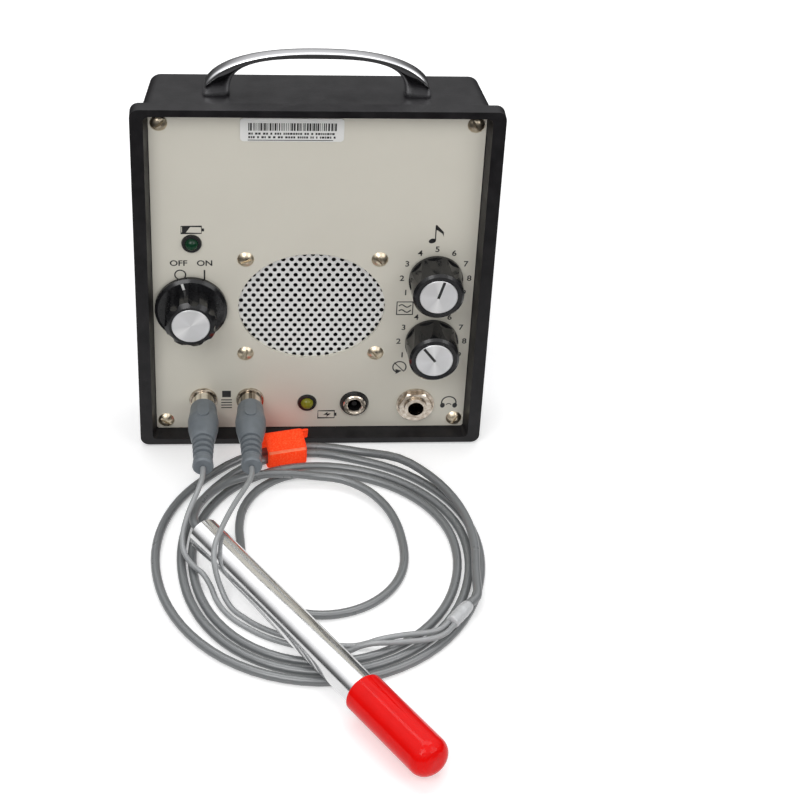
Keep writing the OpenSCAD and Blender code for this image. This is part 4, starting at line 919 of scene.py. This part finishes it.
# Plain bars on the label, rows of short dashes below them, and a line
LABEL_OUT = 0.34
LABEL_LEFT = -26.2
BARS_RIGHT, DASHES_RIGHT = 6.6, 6.0
BARS_Z = (142.9, 146.1)
DASHES_Z, DASH_H = (141.25, 139.75), 0.85

bars = Print(out=LABEL_OUT)
rng = random.Random(7)
x = LABEL_LEFT
while x < BARS_RIGHT:
    w = rng.choice((0.22, 0.22, 0.42, 0.66))
    bars.box(x, BARS_Z[0], x + w, BARS_Z[1])
    x += w + rng.choice((0.24, 0.3, 0.5))
for z in DASHES_Z:
    x = LABEL_LEFT
    while x < DASHES_RIGHT:
        w = rng.choice((0.5, 0.7, 0.9))
        bars.box(x, z, x + w, z + DASH_H)
        x += w + rng.choice((0.25, 0.25, 0.9))
bars.box(-26.4, 138.8, 5.6, 139.1)
bars.make("label_bars", "label_white")

# Pointers: a dark line on each spun disc of the level knobs, a pale one on the power knob's skirt. Both lie a
# hair outside the face that they are on, 14 and 3 mm from the panel.
DISC_OUT = 14.04
SKIRT_OUT = 3.03
for name, centre, angle, body in (("volume_pointer", VOLUME, -16, "volume_dial"),
                                  ("suppression_pointer", SUPPRESSION, 38, "suppression_dial")):
    pointer = Print(out=DISC_OUT, centre=centre, turn=math.radians(angle))
    pointer.box(-0.55, -0.6, 0.55, 7.2)
    pointer.make(name, "knob_black", body)

skirt_line = Print(out=SKIRT_OUT, centre=POWER, turn=math.radians(15))
skirt_line.box(-0.5, 9.9, 0.5, 13.0)
skirt_line.make("power_pointer", "disc_aluminium", "power_dial", white_ink)

# Floor: the eye sees it white, far away too. Polished faces mirror it white from close by and dark from
# further up.

FLOOR_HALF = 4
FLOOR_GLOW = 0.385

floor_look = Mat("floor", (0.86, 0.86, 0.86), 0.9, Specular_IOR_Level=0.1)
ray = floor_look.node("ShaderNodeLightPath").outputs
to_here = floor_look.node("ShaderNodeVectorMath", {0: floor_look.coords()}, operation="LENGTH")


def fade(value, low, high, at_low, at_high):
    """A number that goes from one level to another as the value goes from low to high."""
    inputs = {"Value": value, "From Min": low, "From Max": high, "To Min": at_low, "To Max": at_high}
    return floor_look.node("ShaderNodeMapRange", inputs).outputs["Result"]


def glow(strength):
    return floor_look.node("ShaderNodeEmission", {"Strength": strength}).outputs["Emission"]


def either(fac, first, second):
    return floor_look.node("ShaderNodeMixShader", {"Fac": fac, 1: first, 2: second}).outputs["Shader"]


paint = floor_look.shader.outputs["BSDF"]
seen = glow(fade(to_here.outputs["Value"], 0.30, 0.80, FLOOR_GLOW, 1.0))
mirrored = glow(fade(ray["Ray Length"], 0.10, 0.24, 0.90, 0.05))
white = floor_look.node("ShaderNodeAddShader", {0: paint, 1: seen}).outputs["Shader"]
whole = either(ray["Is Glossy Ray"], either(ray["Is Camera Ray"], paint, white), mirrored)
floor_look.tree.links.new(whole, floor_look.tree.nodes["Material Output"].inputs["Surface"])

floor_mesh = bpy.data.meshes.new("floor")
corners = [(-1, -1), (1, -1), (1, 1), (-1, 1)]
floor_mesh.from_pydata([(i * FLOOR_HALF, j * FLOOR_HALF, 0) for i, j in corners], [], [(0, 1, 2, 3)])
floor_mesh.materials.append(floor_look.m)
floor = bpy.data.objects.new("floor", floor_mesh)
bpy.context.collection.objects.link(floor)

# World: white to the eye, and a soft room above for diffuse and for mirrored light

SKY_BLUE = 1.01

world = bpy.data.worlds.new("studio")
scene.world = world
world.use_nodes = True
world_tree = world.node_tree
world_tree.nodes.clear()
directions = add_node(world_tree, "ShaderNodeTexCoord").outputs["Generated"]
upward = add_node(world_tree, "ShaderNodeSeparateXYZ", {0: directions}).outputs["Z"]


def sky(stops, strength=1.0):
    """A background that changes with the height of the direction, from level to straight up."""
    color = add_ramp(world_tree, upward, [(up, (grey, grey, grey * SKY_BLUE)) for up, grey in stops])
    return add_node(world_tree, "ShaderNodeBackground", {"Color": color, "Strength": strength}).outputs[0]


world_ray = add_node(world_tree, "ShaderNodeLightPath").outputs
backdrop = add_node(world_tree, "ShaderNodeBackground", {"Color": (1, 1, 1, 1)}).outputs[0]
room = add_node(world_tree, "ShaderNodeMixShader", {
    "Fac": world_ray["Is Glossy Ray"], 1: sky([(0.0, 0.10), (0.75, 0.44)]),
    2: sky([(0.0, 0.04), (0.25, 0.16), (0.42, 0.55), (0.7, 1.0)], 1.3)}).outputs["Shader"]
all_round = add_node(world_tree, "ShaderNodeMixShader", {
    "Fac": world_ray["Is Camera Ray"], 1: room, 2: backdrop}).outputs["Shader"]
add_node(world_tree, "ShaderNodeOutputWorld", {"Surface": all_round})

# Lamps


def lamp(name, at, look_at, size, power, size_y=None):
    data = bpy.data.lights.new(name, "AREA")
    data.shape = "RECTANGLE"
    data.size = size
    data.size_y = size_y or size
    data.energy = power
    ob = bpy.data.objects.new(name, data)
    bpy.context.collection.objects.link(ob)
    ob.location = at
    ob.rotation_euler = (Vector(look_at) - Vector(at)).to_track_quat("-Z", "Y").to_euler()


lamp("key", (-0.55, -1.0, 1.25), (0, 0.02, 0.05), 0.9, 9.5)
lamp("fill", (0.9, -0.7, 0.8), (0, 0.02, 0.06), 0.8, 3.6)
lamp("overhead", (0.0, 0.35, 1.4), (0, 0.0, 0.0), 1.2, 6.5, 0.7)

scene.view_settings.view_transform = "Standard"

# Bring the scene up to date

bpy.context.view_layer.update()
